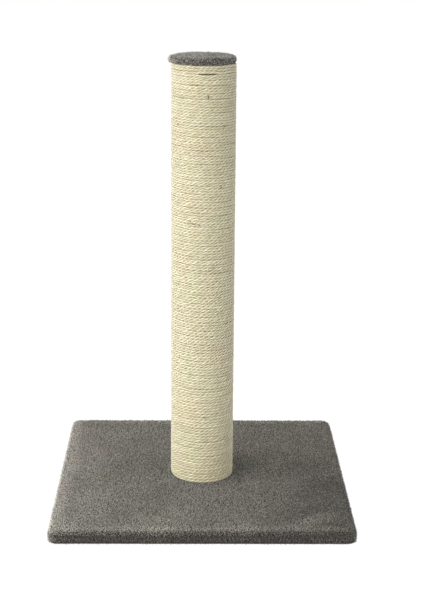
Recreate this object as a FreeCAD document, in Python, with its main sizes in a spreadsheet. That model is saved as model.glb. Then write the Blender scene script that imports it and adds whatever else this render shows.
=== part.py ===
"""Cat scratching post: a plush-covered base, a paper core tube wound with sisal rope and a plush-covered cap.

Millimetres. +Z is up, -Y is the front, and the origin is the centre of the underside, on the floor.
"""

import FreeCAD
import Part
import math
import os
import Sketcher

Vector = FreeCAD.Vector

# Every driving dimension, with what it is. Cells and aliases of the sheet "Sizes".
SIZES = [
    ("board_side", 400.0, "side of the square base board"),
    ("board_thickness", 15.0, "chipboard of the base"),
    ("board_corner_radius", 7.0, "rounding of the board's corners, seen from above"),
    ("plush_side", 5.4, "plush and pile on the base's sides"),
    ("plush_top", 4.0, "plush and pile on top of the base"),
    ("plush_pressed", 1.2, "the same plush under the post, pressed flat"),
    ("plush_top_rounding", 5.0, "rounding of the base along its top edge"),
    ("plush_foot_chamfer", 2.0, "chamfer of the base along its bottom edge"),
    ("fabric_gap", 0.3, "play between plush and the wood or rope beside it"),
    ("hem_thickness", 1.8, "plush turned under the board"),
    ("hem_width", 30.0, "how far the plush is turned under the board"),
    ("staple_crown", 10.0, "outside width of a staple"),
    ("staple_wire", 0.8, "thickness of a staple's wire"),
    ("staple_leg", 8.0, "length of a base staple over all"),
    ("staple_sink", 0.5, "how deep a crown is pressed into the hem"),
    ("staple_gap", 0.1, "play round a staple in hem and board"),
    ("staples_per_side", 3.0, "staples along each side of the base"),
    ("staple_pitch", 150.0, "distance between staples along a side"),
    ("tube_bore", 76.2, "bore of the paper core tube, 3 inches"),
    ("tube_wall", 2.6, "wall of the paper core tube"),
    ("post_length", 592.0, "length of the tube and of the rope winding"),
    ("plug_gap", 0.15, "play between a plug and the tube"),
    ("plug_thickness", 15.0, "thickness of the wooden plugs"),
    ("plug_brads", 4.0, "brads round each plug"),
    ("brad_width", 1.2, "width of a brad's flat wire"),
    ("brad_thickness", 1.0, "thickness of a brad's flat wire"),
    ("brad_length", 20.0, "length of a plug brad over all"),
    ("brad_head", 2.4, "height of a brad's head"),
    ("brad_head_depth", 0.6, "thickness of a brad's head"),
    ("brad_gap", 0.1, "play round a brad"),
    ("bolt_thread", 8.0, "M8 bolt"),
    ("bolt_length", 35.0, "length of the bolt under its head"),
    ("bolt_flats", 13.0, "width across the head's flats"),
    ("bolt_head_height", 5.3, "height of the bolt's head"),
    ("bolt_head_chamfer", 0.7, "chamfer of the head's lower edges"),
    ("bolt_tip_chamfer", 1.2, "chamfer of the bolt's tip"),
    ("bolt_gap", 0.4, "play round the bolt in board, plush and washer"),
    ("thread_gap", 0.05, "play between bolt and tee nut, threads left plain"),
    ("washer_width", 24.0, "outside diameter of the wide M8 washer"),
    ("washer_thickness", 2.0, "thickness of the washer"),
    ("counterbore_width", 28.0, "recess in the board for washer and head"),
    ("counterbore_depth", 6.0, "depth of that recess"),
    ("tee_flange", 22.0, "flange of the tee nut"),
    ("tee_flange_thickness", 1.5, "thickness of the flange"),
    ("tee_barrel", 10.0, "barrel of the tee nut"),
    ("tee_barrel_length", 9.0, "length of the barrel under the flange"),
    ("tee_prongs", 4.0, "prongs of the tee nut"),
    ("tee_prong_width", 3.0, "width of a prong"),
    ("tee_prong_thickness", 1.3, "thickness of a prong"),
    ("tee_prong_length", 6.0, "length of a prong under the flange"),
    ("tee_gap", 0.15, "play round barrel and prongs in the plug"),
    ("rope_wire", 3.5, "drawn thickness of the sisal rope"),
    ("rope_turn_gap", 0.45, "drawn gap from one turn to the next"),
    ("rope_seat_gap", 0.25, "play between rope and tube"),
    ("rope_end_gap", 0.1, "play between the outer turns and the post's ends"),
    ("rope_shown_turns", 5.0, "turns drawn one by one at each end of the winding"),
    ("rope_brad_length", 16.0, "length of the brad through a rope end, head sunk in the rope"),
    ("cap_disc_width", 84.0, "wooden disc in the cap"),
    ("cap_disc_thickness", 5.0, "thickness of that disc"),
    ("cap_plush_side", 4.5, "plush and pile round the cap's disc"),
    ("cap_plush_top", 3.5, "plush and pile on top of the cap"),
    ("cap_top_rounding", 4.5, "rounding of the cap's top edge"),
    ("cap_hem_thickness", 1.5, "plush gathered under the disc"),
    ("cap_hem_width", 17.0, "how far the plush reaches under the disc"),
    ("cap_staples", 6.0, "staples round the cap's hem"),
    ("cap_staple_leg", 5.0, "length of a cap staple over all"),
    ("cap_staple_sink", 0.3, "how deep a cap staple is pressed into the hem"),
    ("cap_brads", 4.0, "brads from the top plug into the disc"),
    ("cap_brad_circle", 40.0, "circle that those brads stand on"),
]

BACK = 90.0  # degrees, the direction of +Y, where the rope starts and ends
ARCS_PER_TURN = 2  # biarcs in each turn of the rope
ROPE_SIDES = 6  # flats round the drawn rope
TAIL = 1.0  # straight run at each end of a wound rope, in rope thicknesses
GAP_STEPS = 48  # points per turn where the gap between turns is measured
FULL_TURN = 360.0  # degrees
SQUARE_SIDES = 4  # sides of the base
BOLT_HEAD_SIDES = 6  # flats of the bolt's head
NEAR = 1e-4  # millimetres within which an edge counts as lying at a height

document = FreeCAD.newDocument("ScratchingPost")
sheet = document.addObject("Spreadsheet::Sheet", "Sizes")
for row, (alias, number, meaning) in enumerate(SIZES, start=1):
    sheet.set(f"A{row}", alias)
    sheet.set(f"B{row}", repr(number))
    sheet.setAlias(f"B{row}", alias)
    sheet.set(f"C{row}", meaning)
document.recompute()


def words(text):
    """An expression in which each size stands by its own name, ready for setExpression."""
    for name in sorted((entry[0] for entry in SIZES), key=len, reverse=True):
        text = text.replace(f"<{name}>", f"Sizes.{name}")
    return text


def number_of(text):
    """The present value of such an expression."""
    return float(sheet.evalExpression(words(text)))


# Heights and widths that several pieces share.
BOARD_FOOT = "<hem_thickness>"
BOARD_TOP = "(<hem_thickness> + <board_thickness>)"
POST_FOOT = f"({BOARD_TOP} + <plush_pressed>)"
POST_TOP = f"({POST_FOOT} + <post_length>)"
BASE_SIDE = "(<board_side> + 2 * <plush_side>)"
BASE_TOP = f"({BOARD_TOP} + <plush_top>)"
TUBE_WIDTH = "(<tube_bore> + 2 * <tube_wall>)"
POST_WIDTH = f"({TUBE_WIDTH} + 2 * <rope_seat_gap> + 2 * <rope_wire>)"
BOLT_SEAT = "(<hem_thickness> + <counterbore_depth>)"
STAPLE_ROW = "(<board_side> / 2 - <hem_width> / 2)"
TOP_PLUG_FOOT = f"({POST_TOP} - <plug_thickness>)"
CAP_DISC_FOOT = f"({POST_TOP} + <cap_hem_thickness>)"
CAP_STAPLE_RING = "(<cap_disc_width> / 2 - <cap_hem_width> / 2)"
CAP_WIDTH = "(<cap_disc_width> + 2 * <cap_plush_side>)"
ROPE_PITCH = "(<rope_wire> + <rope_turn_gap>)"


def new_body(label, height="0"):
    """An empty body for one sub-part, standing at the given height on the post's axis."""
    body = document.addObject("PartDesign::Body", label)
    body.Label = label
    body.setExpression("Placement.Base.z", words(height))
    return body


def datum(body, role):
    """The plane or axis of the body's own origin that has this role."""
    return next(f for f in body.Origin.OriginFeatures if f.Role == role)


def new_sketch(body, role="XY_Plane", offset="0"):
    """A sketch on one of the body's origin planes, moved along that plane's normal."""
    sketch = body.newObject("Sketcher::SketchObject", f"{body.Name}_sketch")
    sketch.AttachmentSupport = [(datum(body, role), "")]
    sketch.MapMode = "FlatFace"
    sketch.setExpression("AttachmentOffset.Base.z", words(offset))
    return sketch


def hold(sketch, kind, *where, value):
    """Adds a dimension to the sketch and ties it to an expression."""
    index = sketch.addConstraint(Sketcher.Constraint(kind, *where, number_of(value)))
    sketch.setExpression(f"Constraints[{index}]", words(value))


def draw_outline(sketch, corners):
    """A closed outline of straight lines through corners given as pairs of expressions."""
    first = len(sketch.Geometry)
    points = [Vector(number_of(across), number_of(along), 0) for across, along in corners]
    count = len(points)
    for i in range(count):
        sketch.addGeometry(Part.LineSegment(points[i], points[(i + 1) % count]))
    for i in range(count):
        joined = (first + i, 2, first + (i + 1) % count, 1)
        sketch.addConstraint(Sketcher.Constraint("Coincident", *joined))
    for i, (across, along) in enumerate(corners):
        hold(sketch, "DistanceX", -1, 1, first + i, 1, value=across)
        hold(sketch, "DistanceY", -1, 1, first + i, 1, value=along)
    return sketch


def draw_circle(sketch, width, across="0", along="0"):
    """A circle of this diameter, centred at a pair of expressions."""
    centre = Vector(number_of(across), number_of(along), 0)
    circle = Part.Circle(centre, Vector(0, 0, 1), number_of(width) / 2)
    index = sketch.addGeometry(circle)
    hold(sketch, "Diameter", index, value=width)
    hold(sketch, "DistanceX", -1, 1, index, 3, value=across)
    hold(sketch, "DistanceY", -1, 1, index, 3, value=along)
    return sketch


def draw_box(sketch, width, depth, across="0", along="0"):
    """A rectangle of this width and depth, centred at a pair of expressions."""
    left, right = f"({across}) - ({width}) / 2", f"({across}) + ({width}) / 2"
    low, high = f"({along}) - ({depth}) / 2", f"({along}) + ({depth}) / 2"
    return draw_outline(sketch, [(left, low), (right, low), (right, high), (left, high)])


def draw_rounded_square(sketch, side, radius):
    """A square about the sketch's origin, its corners rounded to this radius."""
    reach = number_of(side) / 2
    bend = number_of(radius)
    centre = reach - bend
    turns = [(1, -1), (1, 1), (-1, 1), (-1, -1)]
    for i, (sx, sy) in enumerate(turns):
        nx, ny = turns[(i + 3) % 4]
        outward = Vector((sx + nx) / 2, (sy + ny) / 2, 0) * bend
        start = Vector(nx * centre, ny * centre, 0) + outward
        end = Vector(sx * centre, sy * centre, 0) + outward
        sketch.addGeometry(Part.LineSegment(start, end))
    for i, (sx, sy) in enumerate(turns):
        circle = Part.Circle(Vector(sx * centre, sy * centre, 0), Vector(0, 0, 1), bend)
        begin = math.radians(90 * (i - 1))
        sketch.addGeometry(Part.ArcOfCircle(circle, begin, begin + math.pi / 2))
    for i in range(4):
        sketch.addConstraint(Sketcher.Constraint("Tangent", i, 2, 4 + i, 1))
        sketch.addConstraint(Sketcher.Constraint("Tangent", 4 + i, 2, (i + 1) % 4, 1))
        sketch.addConstraint(Sketcher.Constraint("Vertical" if i % 2 else "Horizontal", i))
    for i in range(3):
        sketch.addConstraint(Sketcher.Constraint("Equal", 4 + i, 5 + i))
    sketch.addConstraint(Sketcher.Constraint("Symmetric", 4, 3, 6, 3, -1, 1))
    hold(sketch, "Radius", 4, value=radius)
    hold(sketch, "DistanceX", -1, 1, 4, 3, value=f"({side}) / 2 - ({radius})")
    hold(sketch, "DistanceY", 4, 3, -1, 1, value=f"({side}) / 2 - ({radius})")
    return sketch


def volume_of(body):
    document.recompute()
    return body.Shape.Volume


def raise_from(body, sketch, length, down=False, centred=False):
    """Pads the sketch and makes sure that the body grew."""
    before = volume_of(body) if body.Tip else 0
    pad = body.newObject("PartDesign::Pad", f"{body.Name}_pad")
    pad.Profile = sketch
    pad.setExpression("Length", words(length))
    pad.Reversed = down
    pad.Midplane = centred
    body.Tip = pad
    if volume_of(body) <= before:
        raise RuntimeError(f"{body.Label}: the pad adds nothing")
    return pad


def turn_from(body, sketch, axis):
    """Revolves the sketch about its own horizontal or vertical axis."""
    turned = body.newObject("PartDesign::Revolution", f"{body.Name}_turned")
    turned.Profile = sketch
    turned.ReferenceAxis = (sketch, [axis])
    turned.Angle = FULL_TURN
    body.Tip = turned
    if volume_of(body) <= 0:
        raise RuntimeError(f"{body.Label}: the turned section is empty")
    return turned


def cut_from(body, sketch, length, up=True):
    """Pockets the sketch along its plane's normal, or against it, and makes sure that it cut."""
    before = volume_of(body)
    pocket = body.newObject("PartDesign::Pocket", f"{body.Name}_pocket")
    pocket.Profile = sketch
    pocket.setExpression("Length", words(length))
    pocket.Reversed = up
    body.Tip = pocket
    if volume_of(body) >= before:
        raise RuntimeError(f"{body.Label}: the pocket cuts nothing")
    return pocket


def repeat_round(body, features, count):
    """Repeats features round the body's axis."""
    pattern = body.newObject("PartDesign::PolarPattern", f"{body.Name}_round")
    pattern.Originals = features
    pattern.Axis = (datum(body, "Z_Axis"), [""])
    pattern.Angle = FULL_TURN
    pattern.setExpression("Occurrences", words(count))
    body.Tip = pattern
    document.recompute()
    return pattern


def repeat_along_sides(body, features):
    """Repeats features in a row along the front side and then on all four sides of the base."""
    along = body.newObject("PartDesign::LinearPattern", f"{body.Name}_row")
    round_base = body.newObject("PartDesign::PolarPattern", f"{body.Name}_sides")
    pattern = body.newObject("PartDesign::MultiTransform", f"{body.Name}_rows")
    pattern.Originals = features
    pattern.Transformations = [along, round_base]
    along.Direction = (datum(body, "X_Axis"), [""])
    along.setExpression("Length", words("<staple_pitch> * (<staples_per_side> - 1)"))
    along.setExpression("Occurrences", words("<staples_per_side>"))
    round_base.Axis = (datum(body, "Z_Axis"), [""])
    round_base.Angle = FULL_TURN
    round_base.Occurrences = SQUARE_SIDES
    body.Tip = pattern
    document.recompute()
    return pattern


def round_edges(body, radius, chosen, kind="Fillet"):
    """Fillets or chamfers the edges of the body for which chosen(edge) holds."""
    document.recompute()
    tip = body.Tip
    names = [f"Edge{i}" for i, edge in enumerate(tip.Shape.Edges, start=1) if chosen(edge)]
    if not names:
        raise RuntimeError(f"{body.Label}: no edge to round")
    feature = body.newObject(f"PartDesign::{kind}", f"{body.Name}_{kind}")
    feature.Base = (tip, names)
    feature.setExpression("Radius" if kind == "Fillet" else "Size", words(radius))
    body.Tip = feature
    document.recompute()
    return feature


def lies_at(edge, level, reach):
    """Whether an edge lies flat at this height, at least as far out as the given reach."""
    box = edge.BoundBox
    flat = abs(box.ZMin - level) < NEAR and abs(box.ZMax - level) < NEAR
    far = max(abs(box.XMin), abs(box.XMax), abs(box.YMin), abs(box.YMax))
    return flat and far > reach - NEAR


# Staples: the first of each row lies at the left end of the front side.
ROW_START = "(-<staple_pitch> * (<staples_per_side> - 1) / 2)"
LEG_OFFSET = "(<staple_crown> - <staple_wire>) / 2"
LEG_SLOT = "(<staple_wire> + 2 * <staple_gap>)"
CROWN_SLOT = "(<staple_crown> + 2 * <staple_gap>)"


def staple(body, offset, across, foot, leg):
    """One staple standing on its crown: a U of square wire, legs up."""
    half, wire = "<staple_crown> / 2", "<staple_wire>"
    sketch = new_sketch(body, "XZ_Plane", offset)
    left, right = f"{across} - {half}", f"{across} + {half}"
    top, inner = f"{foot} + {leg}", f"{foot} + {wire}"
    corners = [(left, foot), (right, foot), (right, top), (f"{right} - {wire}", top)]
    corners += [(f"{right} - {wire}", inner), (f"{left} + {wire}", inner)]
    corners += [(f"{left} + {wire}", top), (left, top)]
    draw_outline(sketch, corners)
    return raise_from(body, sketch, wire, centred=True)


def leg_holes(body, level, depth, across, along):
    """Two square holes for a staple's legs, cut upwards from a level."""
    sketch = new_sketch(body, offset=level)
    for side in ("-", "+"):
        draw_box(sketch, LEG_SLOT, LEG_SLOT, f"{across} {side} {LEG_OFFSET}", along)
    return cut_from(body, sketch, depth)


def crown_slot(body, depth, across, along):
    """The dent that a staple's crown presses into a hem's underside."""
    sketch = new_sketch(body)
    draw_box(sketch, CROWN_SLOT, LEG_SLOT, across, along)
    return cut_from(body, sketch, depth)


def make_base_board():
    """Chipboard square with a counterbored hole for the bolt and the staples' holes."""
    body = new_body("base_board", BOARD_FOOT)
    square = draw_rounded_square(new_sketch(body), "<board_side>", "<board_corner_radius>")
    raise_from(body, square, "<board_thickness>")
    cut_from(body, draw_circle(new_sketch(body), "<bolt_thread> + 2 * <bolt_gap>"), "<board_thickness>")
    cut_from(body, draw_circle(new_sketch(body), "<counterbore_width>"), "<counterbore_depth>")
    depth = "<staple_sink> + <staple_leg> - <hem_thickness> + <staple_gap>"
    holes = leg_holes(body, "0", depth, ROW_START, f"-{STAPLE_ROW}")
    repeat_along_sides(body, [holes])
    return body


def make_base_plush_cover():
    """The plush over the base: rounded slab, hollow where the board lies, open inside its hem."""
    body = new_body("base_plush_cover")
    corner = "<board_corner_radius> + <plush_side>"
    raise_from(body, draw_rounded_square(new_sketch(body), BASE_SIDE, corner), BASE_TOP)
    top, foot = number_of(BASE_TOP), 0.0
    edge_reach = number_of(BASE_SIDE) / 2 - number_of(corner)
    round_edges(body, "<plush_top_rounding>", lambda edge: lies_at(edge, top, edge_reach))
    round_edges(body, "<plush_foot_chamfer>", lambda edge: lies_at(edge, foot, edge_reach), "Chamfer")
    cavity = new_sketch(body, offset=BOARD_FOOT)
    draw_rounded_square(cavity, "<board_side> + 2 * <fabric_gap>", "<board_corner_radius> + <fabric_gap>")
    cut_from(body, cavity, "<board_thickness>")
    inside_hem = "<board_side> - 2 * <hem_width>"
    cut_from(body, draw_box(new_sketch(body), inside_hem, inside_hem), "<hem_thickness>")
    seat = draw_circle(new_sketch(body, offset=POST_FOOT), f"{POST_WIDTH} + 2 * <fabric_gap>")
    cut_from(body, seat, f"{BASE_TOP} - {POST_FOOT}")
    bolt_hole = draw_circle(new_sketch(body, offset=BOARD_TOP), "<bolt_thread> + 2 * <bolt_gap>")
    cut_from(body, bolt_hole, "<plush_pressed>")
    crown = crown_slot(body, "<staple_sink> + <staple_wire>", ROW_START, f"-{STAPLE_ROW}")
    legs = leg_holes(body, "0", "<hem_thickness>", ROW_START, f"-{STAPLE_ROW}")
    repeat_along_sides(body, [crown, legs])
    return body


def make_base_hem_staples():
    """Four rows of staples, legs up through the hem into the board."""
    body = new_body("base_hem_staples")
    first = staple(body, STAPLE_ROW, ROW_START, "<staple_sink>", "<staple_leg>")
    repeat_along_sides(body, [first])
    return body


def make_base_bolt():
    """Hexagon bolt, head down in the board's counterbore."""
    body = new_body("base_bolt", f"{BOLT_SEAT} - <washer_thickness>")
    head = body.newObject("PartDesign::AdditivePrism", "bolt_head")
    head.Polygon = BOLT_HEAD_SIDES
    head.setExpression("Circumradius", words("<bolt_flats> / 2 / cos(30 deg)"))
    head.setExpression("Height", words("<bolt_head_height>"))
    head.setExpression("Placement.Base.z", words("-<bolt_head_height>"))
    body.Tip = head
    low = -number_of("<bolt_head_height>")
    round_edges(body, "<bolt_head_chamfer>", lambda edge: lies_at(edge, low, 0), "Chamfer")
    raise_from(body, draw_circle(new_sketch(body), "<bolt_thread>"), "<bolt_length>")
    tip = number_of("<bolt_length>")
    round_edges(body, "<bolt_tip_chamfer>", lambda edge: lies_at(edge, tip, 0), "Chamfer")
    return body


def make_base_washer():
    """Wide washer between the bolt's head and the board."""
    body = new_body("base_washer", f"{BOLT_SEAT} - <washer_thickness>")
    ring = draw_circle(new_sketch(body), "<washer_width>")
    draw_circle(ring, "<bolt_thread> + 2 * <bolt_gap>")
    raise_from(body, ring, "<washer_thickness>")
    return body


def draw_brad(sketch, level, grown="0"):
    """Side view of a brad driven inwards from the tube's outside: a flat wire with a T head."""
    outside = f"{TUBE_WIDTH} / 2 + {grown}"
    tip, neck = f"{TUBE_WIDTH} / 2 - <brad_length> - {grown}", f"{outside} - <brad_head_depth> - 2 * {grown}"
    wire, head = f"<brad_width> / 2 + {grown}", f"<brad_head> / 2 + {grown}"
    low = [(tip, f"{level} - ({wire})"), (neck, f"{level} - ({wire})")]
    low += [(neck, f"{level} - ({head})"), (outside, f"{level} - ({head})")]
    high = [(outside, f"{level} + {head}"), (neck, f"{level} + {head}")]
    high += [(neck, f"{level} + {wire}"), (tip, f"{level} + {wire}")]
    return draw_outline(sketch, low + high)


def brad_hole(body, level):
    """The slot of one brad through whatever the body has there."""
    sketch = draw_brad(new_sketch(body, "XZ_Plane"), level, "<brad_gap>")
    hole = cut_from(body, sketch, "<brad_thickness> + 2 * <brad_gap>")
    hole.Midplane = True
    return hole


def rope_brad_slot(body, centre, foot):
    """The slot of the brad behind a rope end, from the body's axis out to its back."""
    sketch = new_sketch(body, "XZ_Plane")
    wide, high = "<brad_thickness> + 2 * <brad_gap>", "<brad_width> + 2 * <brad_gap>"
    draw_box(sketch, wide, high, f"{centre.x}", f"{centre.z} - {foot}")
    return cut_from(body, sketch, f"{TUBE_WIDTH} / 2", up=False)


def make_post_tube():
    """Paper core tube with the slots of its brads."""
    body = new_body("post_tube", POST_FOOT)
    ring = draw_circle(new_sketch(body), TUBE_WIDTH)
    draw_circle(ring, "<tube_bore>")
    raise_from(body, ring, "<post_length>")
    levels = ("<plug_thickness> / 2", "<post_length> - <plug_thickness> / 2")
    repeat_round(body, [brad_hole(body, level) for level in levels], "<plug_brads>")
    foot_end, top_end = rope_end_centres()
    rope_brad_slot(body, foot_end, POST_FOOT)
    rope_brad_slot(body, top_end, POST_FOOT)
    return body


def make_plug(label, foot, rope_end):
    """A wooden disc that closes one end of the tube, slotted for its own brads and the rope's."""
    body = new_body(label, foot)
    disc = draw_circle(new_sketch(body), "<tube_bore> - 2 * <plug_gap>")
    raise_from(body, disc, "<plug_thickness>")
    repeat_round(body, [brad_hole(body, "<plug_thickness> / 2")], "<plug_brads>")
    rope_brad_slot(body, rope_end, foot)
    return body


def make_foot_plug():
    """The lower plug, bored for the tee nut's barrel and dented by its prongs."""
    body = make_plug("foot_plug", POST_FOOT, rope_end_centres()[0])
    cut_from(body, draw_circle(new_sketch(body), "<tee_barrel> + 2 * <tee_gap>"), "<plug_thickness>")
    slot = new_sketch(body, offset="<plug_thickness>")
    draw_prong(slot, "<tee_gap>")
    prong = cut_from(body, slot, "<tee_prong_length> + <tee_gap>", up=False)
    repeat_round(body, [prong], "<tee_prongs>")
    return body


def make_top_plug():
    """The upper plug, slotted upwards for the brads that hold the cap."""
    body = make_plug("top_plug", TOP_PLUG_FOOT, rope_end_centres()[1])
    hole = cap_brad_hole(body, "<plug_thickness>", "<brad_head_depth> + <brad_gap>")
    repeat_round(body, hole, "<cap_brads>")
    return body


def cap_brad_hole(body, depth, head_depth=None):
    """The upright slot of one of the cap's brads, with a wider mouth where its head lies."""
    across = "<cap_brad_circle> / 2"
    thin = "<brad_thickness> + 2 * <brad_gap>"
    stem = draw_box(new_sketch(body), thin, "<brad_width> + 2 * <brad_gap>", across)
    cuts = [cut_from(body, stem, depth)]
    if head_depth:
        mouth = draw_box(new_sketch(body), thin, "<brad_head> + 2 * <brad_gap>", across)
        cuts.append(cut_from(body, mouth, head_depth))
    return cuts


def make_plug_brads(label, level):
    """Brads driven from the tube's outside into a plug, heads flush with the tube."""
    body = new_body(label, level)
    profile = draw_brad(new_sketch(body, "XZ_Plane"), "0")
    brad = raise_from(body, profile, "<brad_thickness>", centred=True)
    repeat_round(body, [brad], "<plug_brads>")
    return body


def draw_prong(sketch, gap):
    """The section of one prong of the tee nut, at the rim of its flange."""
    middle = "<tee_flange> / 2 - <tee_prong_thickness> / 2"
    across = f"<tee_prong_thickness> + 2 * {gap}"
    return draw_box(sketch, across, f"<tee_prong_width> + 2 * {gap}", middle, "0")


def make_tee_nut():
    """Tee nut pulled into the foot plug's inner face: flange, barrel and four prongs."""
    body = new_body("tee_nut", f"{POST_FOOT} + <plug_thickness>")
    raise_from(body, draw_circle(new_sketch(body), "<tee_flange>"), "<tee_flange_thickness>")
    raise_from(body, draw_circle(new_sketch(body), "<tee_barrel>"), "<tee_barrel_length>", down=True)
    prong = raise_from(body, draw_prong(new_sketch(body), "0"), "<tee_prong_length>", down=True)
    repeat_round(body, [prong], "<tee_prongs>")
    bore = new_sketch(body, offset="-<tee_barrel_length>")
    draw_circle(bore, "<bolt_thread> + 2 * <thread_gap>")
    cut_from(body, bore, "<tee_barrel_length> + <tee_flange_thickness>")
    return body


def rope_ring():
    """Radius of the rope's centre line."""
    return number_of(f"{TUBE_WIDTH} / 2 + <rope_seat_gap> + <rope_wire> / 2")


def coil_starts():
    """Heights of the centre line where the lower and the upper turns begin."""
    clear = number_of("<rope_end_gap> + <rope_wire> / 2")
    rise = number_of(f"<rope_shown_turns> * {ROPE_PITCH}")
    return number_of(POST_FOOT) + clear, number_of(POST_TOP) - clear - rise


def rope_point(start, turns):
    """A point of the centre line this many turns from its start at the back.

    The rope goes down to the right as the front shows it: seen from above it climbs clockwise.
    """
    angle = math.radians(BACK) - 2 * math.pi * turns
    ring, climb = rope_ring(), number_of(ROPE_PITCH) * turns
    return Vector(ring * math.cos(angle), ring * math.sin(angle), start + climb)


def rope_heading(turns):
    """The direction of the centre line this many turns from its start."""
    angle = math.radians(BACK) - 2 * math.pi * turns
    round_post = 2 * math.pi * rope_ring()
    heading = Vector(math.sin(angle), -math.cos(angle), number_of(ROPE_PITCH) / round_post)
    return heading.normalize()


def arc_between(start, corner, end):
    """The arc that touches start-corner at start and corner-end at end."""
    weight = (end - start).Length / 2 / (corner - start).Length
    middle = (start + end + corner * (2 * weight)) * (1 / (2 + 2 * weight))
    return Part.Arc(start, middle, end).toShape()


def biarc(start, leave, end, arrive):
    """Two arcs that join with one tangent and keep the given directions at both ends."""
    gap, both = end - start, leave + arrive
    square = 2 * (1 - leave.dot(arrive))
    linear = gap.dot(both)
    reach = (math.sqrt(linear * linear + square * gap.dot(gap)) - linear) / square
    near, far = start + leave * reach, end - arrive * reach
    joint = (near + far) * 0.5
    return [arc_between(start, near, joint), arc_between(joint, far, end)]


def rope_turns(start, turns):
    """One unbroken tube of wound rope with a straight tail at each end."""
    wire = number_of("<rope_wire>")
    tail = TAIL * wire
    first, last = rope_point(start, 0), rope_point(start, turns)
    lead, out = rope_heading(0), rope_heading(turns)
    cut_end = first - lead * tail
    edges = [Part.LineSegment(cut_end, first).toShape()]
    steps = round(turns * ARCS_PER_TURN)
    for step in range(steps):
        here, there = step / ARCS_PER_TURN, (step + 1) / ARCS_PER_TURN
        edges += biarc(
            rope_point(start, here), rope_heading(here), rope_point(start, there), rope_heading(there)
        )
    edges.append(Part.LineSegment(last, last + out * tail).toShape())
    side = lead.cross(Vector(0, 0, 1)).normalize()
    upward = side.cross(lead)
    section = []
    for flat in range(ROPE_SIDES + 1):
        angle = 2 * math.pi * (flat + 0.5) / ROPE_SIDES
        section.append(cut_end + (side * math.cos(angle) + upward * math.sin(angle)) * (wire / 2))
    return Part.Wire(edges).makePipeShell([Part.makePolygon(section)], True, False)


def rope_end_centres():
    """Where a brad crosses each end of the rope: the middle of its straight tails at the back."""
    half_tail = TAIL * number_of("<rope_wire>") / 2
    turns = number_of("<rope_shown_turns>")
    low, high = coil_starts()
    foot = rope_point(low, 0) - rope_heading(0) * half_tail
    top = rope_point(high, turns) + rope_heading(turns) * half_tail
    return foot, top


def rope_brad(centre, gap):
    """A brad from behind through a rope end into the tube, its head sunk in the rope."""
    wide, high = number_of("<brad_thickness>") + 2 * gap, number_of("<brad_width>") + 2 * gap
    head_high, depth = number_of("<brad_head>") + 2 * gap, number_of("<brad_head_depth>") + 2 * gap
    length = number_of("<rope_brad_length>") + 2 * gap
    outside = number_of(f"{POST_WIDTH} / 2") + gap
    left = centre.x - wide / 2
    stem = Part.makeBox(wide, length, high, Vector(left, outside - length, centre.z - high / 2))
    head = Part.makeBox(wide, depth, head_high, Vector(left, outside - depth, centre.z - head_high / 2))
    return stem.fuse(head).removeSplitter()


def least_gap(start, turns):
    """The least gap between one turn and the next, measured on points of the centre line."""
    wire = number_of("<rope_wire>")
    points = [rope_point(start, i / GAP_STEPS) for i in range(round(turns * GAP_STEPS) + 1)]
    apart = GAP_STEPS // 2
    pairs = ((a, b) for i, a in enumerate(points) for b in points[i + apart :])
    return min((a - b).Length for a, b in pairs) - wire


def add_shape(label, shape):
    """A sub-part whose shape is worked out here and not by a feature."""
    feature = document.addObject("Part::Feature", label)
    feature.Label = label
    feature.Shape = shape
    feature.Placement = FreeCAD.Placement()
    return feature


def make_sisal_rope():
    """The winding: real turns at both ends, a plain sleeve of the same size for the many between."""
    turns = number_of("<rope_shown_turns>")
    low, high = coil_starts()
    solids = [rope_turns(low, turns), rope_turns(high, turns)]
    for centre in rope_end_centres():
        solids = [solid.cut(rope_brad(centre, number_of("<brad_gap>"))) for solid in solids]
    clear = number_of("<rope_wire> / 2 + <rope_turn_gap>")
    foot = low + turns * number_of(ROPE_PITCH) + clear
    length = high - clear - foot
    outer, inner = number_of(f"{POST_WIDTH} / 2"), number_of(f"{TUBE_WIDTH} / 2 + <rope_seat_gap>")
    at = Vector(0, 0, foot)
    solids.append(Part.makeCylinder(outer, length, at).cut(Part.makeCylinder(inner, length, at)))
    print(f"rope: {turns:.0f} turns drawn at each end, least gap {least_gap(low, turns):.2f} mm")
    return add_shape("sisal_rope", Part.makeCompound([s for shape in solids for s in shape.Solids]))


def make_rope_end_brads():
    """One brad through each end of the rope."""
    return add_shape("rope_end_brads", Part.makeCompound([rope_brad(c, 0) for c in rope_end_centres()]))


def make_cap_disc():
    """Wooden disc of the cap, with the brads' and the staples' holes in its underside."""
    body = new_body("cap_disc", CAP_DISC_FOOT)
    raise_from(body, draw_circle(new_sketch(body), "<cap_disc_width>"), "<cap_disc_thickness>")
    reach = "<brad_length> - <plug_thickness> - <cap_hem_thickness> + <brad_gap>"
    repeat_round(body, cap_brad_hole(body, reach), "<cap_brads>")
    depth = "<cap_staple_sink> + <cap_staple_leg> - <cap_hem_thickness> + <staple_gap>"
    legs = leg_holes(body, "0", depth, "0", f"-{CAP_STAPLE_RING}")
    repeat_round(body, [legs], "<cap_staples>")
    return body


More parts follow.
